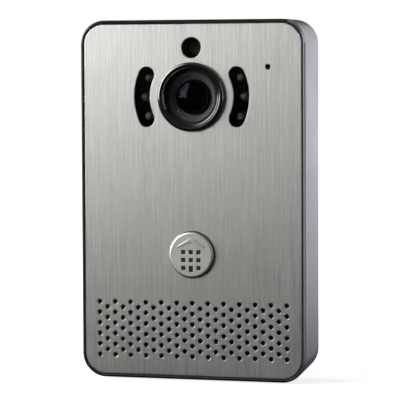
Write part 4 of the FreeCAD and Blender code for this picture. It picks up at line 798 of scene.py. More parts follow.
@dataclass
class Turning:
    """A piece turned on the lathe about an axis that runs into the wall."""

    name: str
    profile: Profile
    centre_x: float
    centre_z: float
    face: float
    segments: int = FINE_TURN

    def build(self) -> bpy.types.Mesh:
        """Turns the profile; a point on the axis becomes a pole.

        Returns:
            The turned mesh.
        """
        shape = bmesh.new()
        rings = []
        for radius, depth in self.profile:
            y = self.face + depth * MM
            if radius < ON_AXIS:
                rings.append([shape.verts.new((self.centre_x, y, self.centre_z))])
                continue
            ring = []
            for i in range(self.segments):
                angle = 2 * math.pi * i / self.segments
                ring.append(shape.verts.new((self.centre_x + radius * MM * math.cos(angle), y,
                                             self.centre_z + radius * MM * math.sin(angle))))
            rings.append(ring)
        for near, far in zip(rings, rings[1:] + rings[:1]):
            if len(near) == len(far) == 1:
                continue
            for i in range(self.segments):
                j = (i + 1) % self.segments
                corners = [near[i % len(near)], near[j % len(near)], far[j % len(far)], far[i % len(far)]]
                shape.faces.new(list(dict.fromkeys(corners)))
        return tidy_mesh(shape, self.name)


def islands(node: str) -> list[tuple[Vector, Vector]]:
    """The lowest and highest corners of each separate solid of a CAD node.

    Args:
        node: The CAD node.

    Returns:
        One pair of corners per solid, sorted by place.
    """
    shape = bmesh.new()
    shape.from_mesh(frame["nodes"][node].data)
    bmesh.ops.remove_doubles(shape, verts=shape.verts, dist=WELD)
    shape.verts.index_update()
    seen: set[int] = set()
    boxes = []
    for seed in shape.verts:
        if seed.index in seen:
            continue
        waiting, members = [seed], []
        seen.add(seed.index)
        while waiting:
            vertex = waiting.pop()
            members.append(vertex.co.copy())
            for edge in vertex.link_edges:
                other = edge.other_vert(vertex)
                if other.index not in seen:
                    seen.add(other.index)
                    waiting.append(other)
        low = Vector([min(point[axis] for point in members) for axis in range(3)])
        high = Vector([max(point[axis] for point in members) for axis in range(3)])
        boxes.append((low, high))
    shape.free()
    return sorted(boxes, key=lambda pair: tuple(round(part, 5) for part in pair[0]))


@dataclass
class EasedPart:
    """A CAD node's shape with its edges eased, as a moulding or a machined part has them."""

    node: str
    body: Body = Body.PANEL
    ease: float = 0.12
    steps: int = 2
    sharp: float = 32.0

    def build(self) -> bpy.types.Object:
        """Eases the node's shape.

        Returns:
            The eased piece, which stands for the node.
        """
        shape = bmesh.new()
        shape.from_mesh(frame["nodes"][self.node].data)
        bmesh.ops.remove_doubles(shape, verts=shape.verts, dist=WELD)
        if self.ease:
            bmesh.ops.dissolve_limit(shape, angle_limit=FLAT_WITHIN, verts=shape.verts,
                                     edges=shape.edges, delimit=set())
        mesh = tidy_mesh(shape, self.node + "_rough")
        rough = bpy.data.objects.new(self.node + "_rough", mesh)
        bpy.context.scene.collection.objects.link(rough)
        if self.ease:
            bevel = rough.modifiers.new("ease", "BEVEL")
            bevel.width = self.ease * MM
            bevel.segments = self.steps
            bevel.limit_method = "ANGLE"
            bevel.angle_limit = math.radians(self.sharp)
            bevel.harden_normals = False
        weighted = rough.modifiers.new("flats", "WEIGHTED_NORMAL")
        weighted.keep_sharp = True
        ready = plain_mesh(rough, self.node)
        return WORKSHOP.settle(ready, self.node + "_eased", [self.node], self.body)


def plain_mesh(thing: bpy.types.Object, name: str) -> bpy.types.Mesh:
    """Turns an object with live modifiers into a plain mesh and removes the object.

    Args:
        thing: The object.
        name: The mesh's name.

    Returns:
        The evaluated mesh.
    """
    bpy.context.view_layer.update()
    evaluated = thing.evaluated_get(bpy.context.evaluated_depsgraph_get())
    mesh = bpy.data.meshes.new_from_object(evaluated)
    thing.modifiers.clear()
    old = thing.data
    bpy.data.objects.remove(thing)
    if old.users == 0:
        (bpy.data.curves if isinstance(old, bpy.types.Curve) else bpy.data.meshes).remove(old)
    mesh.name = name
    return mesh


class TreeMaker:
    """Runs a geometry tree on a host object, with its inputs set by name."""

    def __init__(self, tree: bpy.types.NodeTree) -> None:
        """Keeps the tree."""
        self.tree = tree

    def run(self, host: bpy.types.ID, name: str, values: dict[str, object],
            turn: Matrix | None = None) -> bpy.types.Mesh:
        """Evaluates the tree on host data.

        Args:
            host: A mesh or a curve for the tree to start from.
            name: The result's name.
            values: The tree's inputs by name.
            turn: Where the result goes, if it isn't built in place.

        Returns:
            A plain welded mesh.
        """
        holder = bpy.data.objects.new(name + "_host", host)
        bpy.context.scene.collection.objects.link(holder)
        modifier = holder.modifiers.new(name, "NODES")
        modifier.node_group = self.tree
        for item in self.tree.interface.items_tree:
            if item.item_type == "SOCKET" and item.in_out == "INPUT" and item.name in values:
                modifier[item.identifier] = values[item.name]
        mesh = plain_mesh(holder, name)
        shape = bmesh.new()
        shape.from_mesh(mesh)
        if turn is not None:
            bmesh.ops.transform(shape, matrix=turn, verts=shape.verts)
        finishes = list(mesh.materials)
        bpy.data.meshes.remove(mesh)
        ready = tidy_mesh(shape, name)
        for material in finishes:
            ready.materials.append(material)
        return ready


def finish_tree(graph: NodeGraph, given: bpy.types.Node, out: bpy.types.Node,
                shape: object) -> bpy.types.NodeTree:
    """Ends a tree with Realize Instances and Set Material.

    Args:
        graph: The tree's graph.
        given: Its group input node.
        out: Its group output node.
        shape: The node that holds the finished geometry.

    Returns:
        The tree.
    """
    real = graph.add("GeometryNodeRealizeInstances", {0: shape})
    painted = graph.add("GeometryNodeSetMaterial", {"Geometry": real, "Material": given.outputs["Finish"]})
    graph.feed(out, 0, painted)
    return graph.tree


def join_all(graph: NodeGraph, shapes: Sequence[object]) -> bpy.types.Node:
    """Joins shapes.

    Args:
        graph: The tree's graph.
        shapes: Nodes or sockets of geometry, in order.

    Returns:
        The Join Geometry node.
    """
    node = graph.add("GeometryNodeJoinGeometry")
    for shape in reversed(shapes):
        graph.feed(node, 0, shape)
    return node


def punched_plate_tree() -> bpy.types.NodeTree:
    """A flat plate with drawn cut-outs and staggered rows of holes, every edge broken; the upright walls of
    the holes and of the outline get a near-black second material, which is painted shade on what is steel.

    The host holds the drawn cut-outs as closed curves in XY, wound anticlockwise. The plate's
    face is at Z 0 and its back at minus the thickness.

    Returns:
        The tree.
    """
    graph, given, out = new_group(
        "PunchedPlate", "GeometryNodeTree",
        [("Cut-outs", GEOMETRY), ("Width", FLOAT), ("Height", FLOAT), ("Corner Radius", FLOAT),
         ("Thickness", FLOAT), ("Edge Break", FLOAT), ("Hole Radius", FLOAT), ("Column Pitch", FLOAT),
         ("Row Pitch", FLOAT), ("Long Columns", COUNT), ("Long Rows", COUNT), ("Grille Height", FLOAT),
         ("Finish", MATERIAL), ("Wall Painted Shade", MATERIAL)], [("Plate", GEOMETRY)])
    take = given.outputs
    blank = graph.add("GeometryNodeCurvePrimitiveQuadrilateral",
                      {"Width": take["Width"], "Height": take["Height"]})
    rounded = graph.add("GeometryNodeFilletCurve",
                        {"Curve": blank, "Count": 24, "Radius": take["Corner Radius"]}, mode="POLY")
    outline = graph.add("GeometryNodeReverseCurve", {0: rounded})
    hole = graph.add("GeometryNodeCurvePrimitiveCircle", {"Resolution": 22, "Radius": take["Hole Radius"]})
    step = graph.maths("MULTIPLY", take["Column Pitch"], 2.0)
    grids = []
    for fewer in (0, 1):
        columns = graph.maths("SUBTRACT", take["Long Columns"], float(fewer))
        rows = graph.maths("SUBTRACT", take["Long Rows"], float(fewer))
        across = graph.maths("MULTIPLY", graph.maths("SUBTRACT", columns, 1.0), step)
        up = graph.maths("MULTIPLY", graph.maths("SUBTRACT", rows, 1.0), take["Row Pitch"])
        grid = graph.add("GeometryNodeMeshGrid", {"Size X": across, "Size Y": up, "Vertices X": columns,
                                                  "Vertices Y": rows})
        grids.append(graph.add("GeometryNodeInstanceOnPoints",
                               {"Points": grid.outputs[0], "Instance": hole}))
    lifted = graph.add("GeometryNodeTransform",
                       {"Geometry": join_all(graph, grids),
                        "Translation": graph.point(y=take["Grille Height"])})
    holes = graph.add("GeometryNodeRealizeInstances", {0: lifted})
    lines = join_all(graph, [take["Cut-outs"], outline, holes])
    deep = graph.maths("MULTIPLY", take["Thickness"], -1.0)
    back, shoulder, lip = (graph.point(y=take["Thickness"]), graph.point(y=take["Edge Break"]),
                           graph.point(x=take["Edge Break"]))
    profile = join_all(graph, [
        graph.add("GeometryNodeCurvePrimitiveLine", {"Start": back, "End": shoulder}),
        graph.add("GeometryNodeCurvePrimitiveLine", {"Start": shoulder, "End": lip})])
    walls = graph.add("GeometryNodeCurveToMesh", {"Curve": lines, "Profile Curve": profile})
    welded = graph.add("GeometryNodeMergeByDistance", {"Geometry": walls, "Distance": WELD})
    open_edge = graph.maths("COMPARE", graph.add("GeometryNodeInputMeshEdgeNeighbors"), 1.0, 0.1)
    height = graph.add("ShaderNodeSeparateXYZ", {0: graph.add("GeometryNodeInputPosition")}).outputs[2]
    faces = []
    for level, operation in ((None, "GREATER_THAN"), (deep, "LESS_THAN")):
        halfway = graph.maths("MULTIPLY", take["Thickness"], -0.5)
        near = graph.maths(operation, height, graph.maths("MULTIPLY", take["Edge Break"], -0.5)
                           if level is None else halfway)
        rim = graph.maths("MULTIPLY", near, open_edge)
        loop = graph.add("GeometryNodeMeshToCurve", {"Mesh": welded, "Selection": rim})
        filled = graph.add("GeometryNodeFillCurve", {"Curve": loop}, mode="TRIANGLES")
        faces.append(filled if level is None else graph.add(
            "GeometryNodeTransform", {"Geometry": filled, "Translation": graph.point(z=level)}))
    closed = graph.add("GeometryNodeMergeByDistance", {"Geometry": join_all(graph, [welded, *faces]),
                                                       "Distance": WELD})
    lean = graph.add("ShaderNodeSeparateXYZ", {0: graph.add("GeometryNodeInputNormal")}).outputs[2]
    upright = graph.maths("COMPARE", lean, 0.0, 0.3)
    finish_tree(graph, given, out, closed)
    painted = out.inputs[0].links[0].from_node
    # The upright walls get the near-black painted shade material.
    painted_shade_walls = graph.add("GeometryNodeSetMaterial", {"Geometry": painted, "Selection": upright,
                                                   "Material": take["Wall Painted Shade"]})
    graph.feed(out, 0, painted_shade_walls)
    return graph.tree


def screw_set_tree() -> bpy.types.NodeTree:
    """Pan head screws with a cross recess, one on each host point, heads towards +Y.

    Returns:
        The tree.
    """
    graph, given, out = new_group(
        "ScrewSet", "GeometryNodeTree",
        [("Seats", GEOMETRY), ("Head Radius", FLOAT), ("Head Height", FLOAT), ("Shank Radius", FLOAT),
         ("Shank Length", FLOAT), ("Recess Width", FLOAT), ("Recess Depth", FLOAT), ("Turn Seed", COUNT),
         ("Finish", MATERIAL)], [("Screws", GEOMETRY)])
    take = given.outputs
    side = graph.maths("MULTIPLY", take["Head Height"], 0.55)
    crown = graph.maths("SUBTRACT", take["Head Height"], side)
    rim = graph.maths("MULTIPLY", take["Head Radius"], 0.93)
    top = graph.maths("MULTIPLY", take["Head Radius"], 0.62)
    shoulder_height = graph.maths("MULTIPLY", crown, 0.45)
    upper_height = graph.maths("SUBTRACT", crown, shoulder_height)

    def drum(top_radius: object, low_radius: object, height: object, base: object) -> bpy.types.Node:
        """A closed frustum.

        Args:
            top_radius: Its radius at the top.
            low_radius: Its radius at the foot.
            height: Its height.
            base: The height of its foot.

        Returns:
            Its node.
        """
        cone = graph.add("GeometryNodeMeshCone", {"Vertices": 36, "Radius Top": top_radius,
                                                  "Radius Bottom": low_radius, "Depth": height})
        return graph.add("GeometryNodeTransform",
                         {"Geometry": cone.outputs[0], "Translation": graph.point(z=base)})

    def bar(along: int) -> bpy.types.Node:
        """One bar of the cross, sunk into the head.

        Args:
            along: The axis that the bar runs along, 0 or 1.

        Returns:
            Its node.
        """
        long_side = graph.maths("MULTIPLY", take["Head Radius"], 1.16)
        deep = graph.maths("MULTIPLY", take["Recess Depth"], 2.0)
        sizes = [take["Recess Width"], take["Recess Width"], deep]
        sizes[along] = long_side
        cube = graph.add("GeometryNodeMeshCube", {"Size": graph.point(*sizes)})
        return graph.add("GeometryNodeTransform",
                         {"Geometry": cube.outputs[0], "Translation": graph.point(z=take["Head Height"])})

    start = graph.maths("MULTIPLY", take["Shank Length"], -1.0)
    shank_length = graph.maths("ADD", take["Shank Length"], graph.maths("MULTIPLY", side, 0.5))
    solids = [drum(take["Shank Radius"], take["Shank Radius"], shank_length, start),
              drum(take["Head Radius"], take["Head Radius"], side, 0.0)]
    whole = graph.add("GeometryNodeMeshBoolean", operation="UNION", solver="EXACT")
    for solid in solids:
        graph.feed(whole, 1, solid)
    crowned = join_all(graph, [
        drum(rim, take["Head Radius"], shoulder_height, side),
        drum(top, rim, upper_height, graph.maths("ADD", side, shoulder_height))])
    whole_head = graph.add("GeometryNodeMeshBoolean", operation="UNION", solver="EXACT")
    graph.feed(whole_head, 1, whole.outputs[0])
    graph.feed(whole_head, 1, crowned)
    cut = graph.add("GeometryNodeMeshBoolean", operation="DIFFERENCE", solver="EXACT")
    graph.feed(cut, 0, whole_head.outputs[0])
    for along in (0, 1):
        graph.feed(cut, 1, bar(along))
    spin = graph.add("FunctionNodeRandomValue",
                     {"Min": 0.0, "Max": math.pi / 2, "Seed": take["Turn Seed"]}, data_type="FLOAT")
    value = next(socket for socket in spin.outputs if socket.enabled)
    placed = graph.add("GeometryNodeInstanceOnPoints",
                       {"Points": take["Seats"], "Instance": cut.outputs[0]})
    graph.feed(placed, "Rotation", graph.point(x=-math.pi / 2))
    spun = graph.add("GeometryNodeRotateInstances",
                     {"Instances": placed, "Rotation": graph.point(z=value)})
    return finish_tree(graph, given, out, spun)


PUNCHED_PLATE = TreeMaker(punched_plate_tree())
SCREW_SET = TreeMaker(screw_set_tree())


def closed_curves(name: str, loops: Iterable[Sequence[tuple[float, float]]]) -> bpy.types.Curve:
    """Closed straight-sided curves in XY.

    Args:
        name: The curve's name.
        loops: Each loop's points, wound anticlockwise.

    Returns:
        The curve.
    """
    curve = bpy.data.curves.new(name, "CURVE")
    curve.dimensions = "3D"
    for points in loops:
        spline = curve.splines.new("POLY")
        spline.points.add(len(points) - 1)
        for place, (x, y) in zip(spline.points, points):
            place.co = (x, y, 0.0, 1.0)
        spline.use_cyclic_u = True
    return curve


def ring_of(x: float, y: float, radius: float, steps: int) -> list[tuple[float, float]]:
    """Points round a circle, anticlockwise.

    Args:
        x: The centre's first coordinate.
        y: The centre's second coordinate.
        radius: The circle's radius.
        steps: How many points.

    Returns:
        The points.
    """
    turns = [2 * math.pi * i / steps for i in range(steps)]
    return [(x + radius * math.cos(turn), y + radius * math.sin(turn)) for turn in turns]


def middle(node: str) -> Vector:
    """The middle of a CAD node's box.

    Args:
        node: The CAD node.

    Returns:
        Its box's middle.
    """
    low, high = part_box(node)
    return (low + high) / 2


# ---- sub-assemblies ----
@dataclass
class Face:
    """The brushed steel front plate with its cut-outs and sound holes. Sizes in millimetres."""

    corner: float = 7.5
    edge_break: float = 0.25
    hole_radius: float = 0.82
    side_margin: float = 5.6
    row_pitch: float = 4.0
    long_columns: int = 13
    long_rows: int = 6
    slot_radius: float = 19.25
    slot_half_width: float = 3.0
    slot_half_angle: float = 25.0
    ring_hole: float = 12.0
    sensor_hole: float = 3.75
    mic_hole: float = 0.9
    button_gap: float = 0.25

    def curved_slot(self, side: int) -> list[tuple[float, float]]:
        """The outline of one lamp slot, an arc about the camera with round ends.

        Args:
            side: -1 for the left slot, 1 for the right.

        Returns:
            Its points, anticlockwise.
        """
        camera = middle("camera_ring").z
        points = []
        limit = math.radians(self.slot_half_angle)
        for i in range(25):
            turn = -limit + 2 * limit * i / 24
            radius = self.slot_radius + self.slot_half_width
            points.append((radius * math.cos(turn), radius * math.sin(turn)))
        points += self._slot_end(limit, 0.0)
        for i in range(25):
            turn = limit - 2 * limit * i / 24
            radius = self.slot_radius - self.slot_half_width
            points.append((radius * math.cos(turn), radius * math.sin(turn)))
        points += self._slot_end(-limit, math.pi)
        placed = [(side * x * MM, y * MM + camera) for x, y in points]
        return placed if side > 0 else placed[::-1]

    def _slot_end(self, turn: float, start: float) -> list[tuple[float, float]]:
        """The inner points of one round end of a slot.

        Args:
            turn: Where the end is, as an angle round the camera.
            start: The angle, from there, at which the end's arc begins.

        Returns:
            Its points, in millimetres from the camera's axis.
        """
        centre = (self.slot_radius * math.cos(turn), self.slot_radius * math.sin(turn))
        points = []
        for i in range(1, 12):
            angle = turn + start + math.pi * i / 12
            points.append((centre[0] + self.slot_half_width * math.cos(angle),
                           centre[1] + self.slot_half_width * math.sin(angle)))
        return points

    def build(self) -> None:
        """Builds and dresses the plate."""
        low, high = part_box("front_plate")
        width, height = high.x - low.x, high.z - low.z
        button = middle("button_cap")
        button_radius = (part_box("button_cap")[1].x - button.x) + self.button_gap * MM
        microphone = middle("microphone")
        sensor = middle("light_sensor_window")
        camera = middle("camera_ring")
        loops = [ring_of(camera.x, camera.z, self.ring_hole * MM, 120),
                 ring_of(sensor.x, sensor.z, self.sensor_hole * MM, 72),
                 ring_of(microphone.x, microphone.z, self.mic_hole * MM, 32),
                 ring_of(button.x, button.z, button_radius, 120),
                 self.curved_slot(-1), self.curved_slot(1)]
        columns = 2 * self.long_columns - 2
        mesh = PUNCHED_PLATE.run(
            closed_curves("face_cutouts", loops), "face_plate",
            {"Width": width, "Height": height, "Corner Radius": self.corner * MM,
             "Thickness": high.y - low.y, "Edge Break": self.edge_break * MM,
             "Hole Radius": self.hole_radius * MM,
             "Column Pitch": (width - 2 * self.side_margin * MM) / columns,
             "Row Pitch": self.row_pitch * MM,
             "Long Columns": self.long_columns, "Long Rows": self.long_rows,
             "Grille Height": middle("speaker_frame").z, "Finish": WORKSHOP.material("brushed_face"),
             # The wall material is near-black painted shade on the plate's steel walls.
             "Wall Painted Shade": WORKSHOP.material("hole_wall_painted_shade")},
            Matrix.Translation((0.0, low.y, 0.0)) @ Matrix.Rotation(math.pi / 2, 4, "X"))
        WORKSHOP.settle(mesh, "face_plate", ["front_plate"], Body.PANEL)


@dataclass
class CameraEye:
    """The turned bezel, cover glass, baffled shroud and lens. Sizes in millimetres."""

    ring_radius: float = 12.9
    opening: float = 10.3
    proud: float = 1.7
    edge: float = 1.0
    neck: float = 11.8
    ledge_radius: float = 9.2
    baffles: int = 4
    rear_curve: float = 9.0

    def __post_init__(self) -> None:
        """Finds the axis and the plate's face."""
        axis = middle("camera_ring")
        self.x, self.z = axis.x, axis.z
        self.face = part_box("front_plate")[0].y

    def depth(self, y: float) -> float:
        """The depth of a Y value, in millimetres."""
        return (y - self.face) / MM

    def turn(self, name: str, profile: Profile, nodes: Sequence[str], segments: int = FINE_TURN) -> None:
        """Turns one piece and settles it.

        Args:
            name: The piece's name.
            profile: Its closed profile, (radius, depth).
            nodes: The CAD nodes that it stands for.
            segments: How many sides it has.
        """
        mesh = Turning(name, profile, self.x, self.z, self.face, segments).build()
        WORKSHOP.settle(mesh, name, nodes, Body.PANEL)

    def ring_profile(self) -> list:
        """The bezel: a rounded band, a fine double groove and a rolled inner lip.

        Returns:
            Its (radius, depth) points.
        """
        crest = -self.proud
        back = self.depth(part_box("camera_ring")[1].y)
        ledge = self.depth(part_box("window_seal")[1].y)
        groove = self.ring_radius - 1.75
        band = arc((self.ring_radius - self.edge, crest + self.edge), self.edge, 0, -90, 12)
        lip = arc((self.opening + 0.4, crest + 0.72), 0.4, -100, -180, 8)
        return [(self.neck, 0.0), (self.ring_radius - 0.06, 0.0), (self.ring_radius, -0.06), *band,
                (groove + 0.1, crest + 0.12), (groove, crest + 0.2), (groove - 0.05, crest + 0.45),
                (groove - 0.3, crest + 0.45), (groove - 0.32, crest + 0.24), (groove - 0.4, crest + 0.18),
                *lip, (self.opening, ledge), (self.ledge_radius, ledge), (self.ledge_radius, back),
                (self.neck, back)]

    def shroud_profile(self) -> list:
        """The black cone between the bezel and the lens, stepped to kill stray light.

        Returns:
            Its (radius, depth) points.
        """
        low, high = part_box("lens_shroud")
        outer = (high.x - low.x) / 2 / MM
        start, end = self.depth(low.y), self.depth(high.y)
        inner = 6.6
        points = [(outer, start), (outer, end), (outer - 0.8, end), (outer - 0.8, start + 1.9),
                  (inner, start + 2.6), (inner, start + 1.75)]
        run, rise = (outer - 0.3 - inner) / self.baffles, 1.7 / self.baffles
        for step in range(self.baffles):
            radius, depth = inner + run * step, start + 1.75 - rise * step
            points += [(radius + run * 0.85, depth - rise * 0.1), (radius + run, depth - rise * 0.95)]
        return points

    def barrel_profile(self) -> list:
        """The lens barrel: a rimmed black face, a threaded body and the iris.

        Returns:
            Its (radius, depth) points.
        """
        low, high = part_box("lens_barrel")
        head = (high.x - low.x) / 2 / MM
        start, end = self.depth(low.y), self.depth(high.y)
        seat = start + 2.2
        glass = 5.8
        points = [(head, start + 0.2), (head, start + 3.8), (5.95, start + 3.8)]
        threads = 8
        first, last = start + 4.4, end - 0.6
        for i in range(threads):
            depth = first + (last - first) * i / threads
            points += [(5.95, depth), (5.72, depth + 0.16), (5.72, depth + 0.3), (5.95, depth + 0.46)]
        points += [(5.95, end), (4.25, end), (4.25, seat + 1.4), (2.9, seat + 1.4), (2.4, seat + 0.9),
                   (3.4, seat + 0.45), (3.5, seat + 0.15), (4.5, seat), (glass, seat),
                   (glass, start + 0.45), (glass + 0.1, start + 0.35), (glass + 0.2, start + 0.1),
                   (head - 0.25, start)]
        return points

    def lens_profile(self) -> list:
        """The front lens: domed ahead, hollow behind, on a flat rim.

        Returns:
            Its (radius, depth) points.
        """
        low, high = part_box("front_lens")
        rim, bowl = (high.x - low.x) / 2 / MM, (high.x - low.x) / 2 / MM - 1.2
        apex, seat = self.depth(low.y), self.depth(high.y)
        centre = 1.3

        def dome(radius: float, curve: float) -> float:
            """How far a sphere falls away at that radius."""
            return curve - math.sqrt(curve * curve - radius * radius)

        front = [(rim * i / 16, apex + dome(rim * i / 16, 16.0)) for i in range(17)]
        back = [(bowl * i / 12, apex + centre + dome(bowl * i / 12, 10.0)) for i in range(12, -1, -1)]
        return [*front, (rim, seat), (bowl, seat), *back]

    def rear_profile(self) -> list:
        """The rear lens, domed on both sides.

        Returns:
            Its (radius, depth) points.
        """
        low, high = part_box("rear_lens")
        rim = (high.x - low.x) / 2 / MM
        start, end = self.depth(low.y), self.depth(high.y)
        curve = self.rear_curve
        falls = [(rim * i / 10, curve - math.sqrt(curve ** 2 - (rim * i / 10) ** 2)) for i in range(11)]
        return [(r, start + fall) for r, fall in falls] + [(r, end - fall) for r, fall in reversed(falls)]

    def build(self) -> None:
        """Builds the eye from the outside in."""
        self.turn("bezel_ring", self.ring_profile(), ["camera_ring"], 160)
        low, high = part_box("camera_window")
        pane, front, back = (high.x - low.x) / 2 / MM, self.depth(low.y), self.depth(high.y)
        self.turn("cover_glass", [(0, front), (pane - 0.12, front), (pane, front + 0.12),
                                  (pane, back - 0.12), (pane - 0.12, back), (0, back)], ["camera_window"])
        self.turn("baffled_shroud", self.shroud_profile(), ["lens_shroud"])
        self.turn("threaded_barrel", self.barrel_profile(), ["lens_barrel"])
        self.turn("front_element", self.lens_profile(), ["front_lens"])
        self.turn("rear_element", self.rear_profile(), ["rear_lens"], 72)
        for node in ("ring_nut", "lens_holder"):
            EasedPart(node, ease=0.15).build()


@dataclass
class ScrewLot:
    """One lot of alike screws, driven from behind. Sizes in millimetres."""

    name: str
    node: str
    head_height: float
    shank_radius: float
    recess_width: float
    recess_depth: float
    seed: int
    head_radius: float | None = None

    def build(self) -> None:
        """Sets a screw on the seat of each of the node's solids."""
        boxes = islands(self.node)
        depths = sorted({round(high.y - low.y, 5) for low, high in boxes})
        low, high = boxes[0]
        head = self.head_radius or (high.x - low.x) / 2 / MM
        host = bpy.data.meshes.new(self.name + "_seats")
        seats = [((a.x + b.x) / 2, b.y - self.head_height * MM, (a.z + b.z) / 2) for a, b in boxes]
        host.from_pydata(seats, [], [])
        mesh = SCREW_SET.run(host, self.name, {
            "Head Radius": head * MM, "Head Height": self.head_height * MM,
            "Shank Radius": self.shank_radius * MM, "Shank Length": depths[0] - self.head_height * MM,
            "Recess Width": self.recess_width * MM, "Recess Depth": self.recess_depth * MM,
            "Turn Seed": self.seed, "Finish": WORKSHOP.material(part_slot(self.node))})
        WORKSHOP.settle(mesh, self.name, [self.node], Body.PANEL)


@dataclass
class PanelBody:
    """The housing, chassis and what stands on the back of it."""

    eased: tuple[tuple[str, float], ...] = (
        ("housing", 0.0), ("chassis", 0.0), ("lamp_window_left", 0.1), ("lamp_window_right", 0.1),
        ("light_sensor_window", 0.1), ("terminal_block", 0.15), ("speaker_frame", 0.1),
        ("infrared_lamps", 0.0), ("light_sensor", 0.1), ("capacitors", 0.2), ("connectors", 0.1),
        ("board_chips", 0.1), ("wifi_module", 0.15), ("switch_body", 0.12))
    screws: tuple[ScrewLot, ...] = (
        ScrewLot("rear_screws", "housing_screws", 1.5, 1.45, 0.6, 0.7, 3),
        ScrewLot("little_screws", "small_screws", 1.0, 0.95, 0.45, 0.45, 5),
        ScrewLot("board_screws", "main_board_screws", 1.2, 1.2, 0.5, 0.5, 7),
        ScrewLot("wiring_screws", "terminal_screws", 0.6, 1.15, 0.4, 0.4, 9))

    def build(self) -> None:
        """Eases the mouldings and sets the screws."""
        for node, ease in self.eased:
            EasedPart(node, ease=ease).build()
        # Paints shade onto the housing's front bevel, all but its right-facing part.
        self.paint_lip_shade(bpy.data.objects["housing_eased"].data)
        for lot in self.screws:
            lot.build()


    @staticmethod
    def paint_lip_shade(mesh: bpy.types.Mesh) -> None:
        """Paints the housing's front bevel near black wherever it faces front but not right, so that it
        outlines the plate: partly the dark joint round the plate, partly painted shade where the silver
        bevel faces away from the lamps; the right-facing bevel keeps its silver.

        Args:
            mesh: The housing's finished mesh.
        """
        mesh.materials.append(WORKSHOP.material("rim_painted_shade"))
        for face in mesh.polygons:
            if face.normal.y < -LEANS_FORWARD and face.normal.x <= LEANS_RIGHT:
                face.material_index = 1


@dataclass
class CallButton:
    """The cap with its house sign, the light guide behind it and the carrier."""

    def build(self) -> None:
        """Eases the three moving parts."""
        EasedPart("button_cap", Body.BUTTON, ease=0.07).build()
        EasedPart("button_light_guide", Body.BUTTON, ease=0.08).build()
        EasedPart("button_carrier", Body.BUTTON, ease=0.12).build()
        self.spring()

    @staticmethod
    def spring() -> None:
        """Copies the return spring's CAD shape, welded and smoothed, onto no body; the real spring shortens
        between the retainer and the carrier.
        """
        shape = bmesh.new()
        shape.from_mesh(frame["nodes"]["button_spring"].data)
        coil = WORKSHOP.settle(tidy_mesh(shape, "button_spring"), "return_spring", ["button_spring"], None)
        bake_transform(coil)


@dataclass
class WallMount:
    """The bracket on the wall and the screw that locks the panel to it."""

    def build(self) -> None:
        """Eases the bent sheet and the lock screw."""
        EasedPart("wall_bracket", Body.BRACKET, ease=0.14).build()
        EasedPart("lock_screw", Body.LOCK, ease=0.12).build()


@dataclass(frozen=True)
class SoftBox:
    """A soft box: where it hangs, what it points at, its width and height, power and linear colour."""

    name: str
    place: tuple[float, float, float]
    aim: tuple[float, float, float]
    size: tuple[float, float]
    watts: float
    colour: tuple[float, float, float]

    def hang(self) -> None:
        """Hangs the soft box, unseen by the camera."""
        data = bpy.data.lights.new(self.name, "AREA")
        data.shape = "RECTANGLE"
        data.size, data.size_y = self.size
        data.energy = self.watts
        data.color = self.colour
        lamp = bpy.data.objects.new(self.name, data)
        lamp.location = self.place
        lamp.visible_camera = False
        lamp.rotation_euler = (Vector(self.aim) - Vector(self.place)).to_track_quat("-Z", "Y").to_euler()
        bpy.context.scene.collection.objects.link(lamp)


SOFT_BOXES = (
    SoftBox("key", place=(-0.74, -0.5, 0.36), aim=(-0.2, 0.0, 0.12), size=(0.8, 0.76), watts=12.4,
            colour=(1.0, 1.0, 0.99)),
    SoftBox("side", place=(0.95, -0.12, 0.06), aim=(0.04, 0.0, 0.0), size=(0.6, 1.1), watts=2.6,
            colour=(0.96, 0.96, 1.0)),
    SoftBox("rear", place=(0.45, 1.0, 0.05), aim=(0.0, 0.0, 0.0), size=(0.9, 1.1), watts=3.0,
            colour=(0.97, 0.97, 1.0)),
    SoftBox("rim", place=(-0.9, 0.1, 0.35), aim=(0.0, -0.02, 0.03), size=(0.25, 0.6), watts=5.0,
            colour=(1.0, 1.0, 1.0)),
)


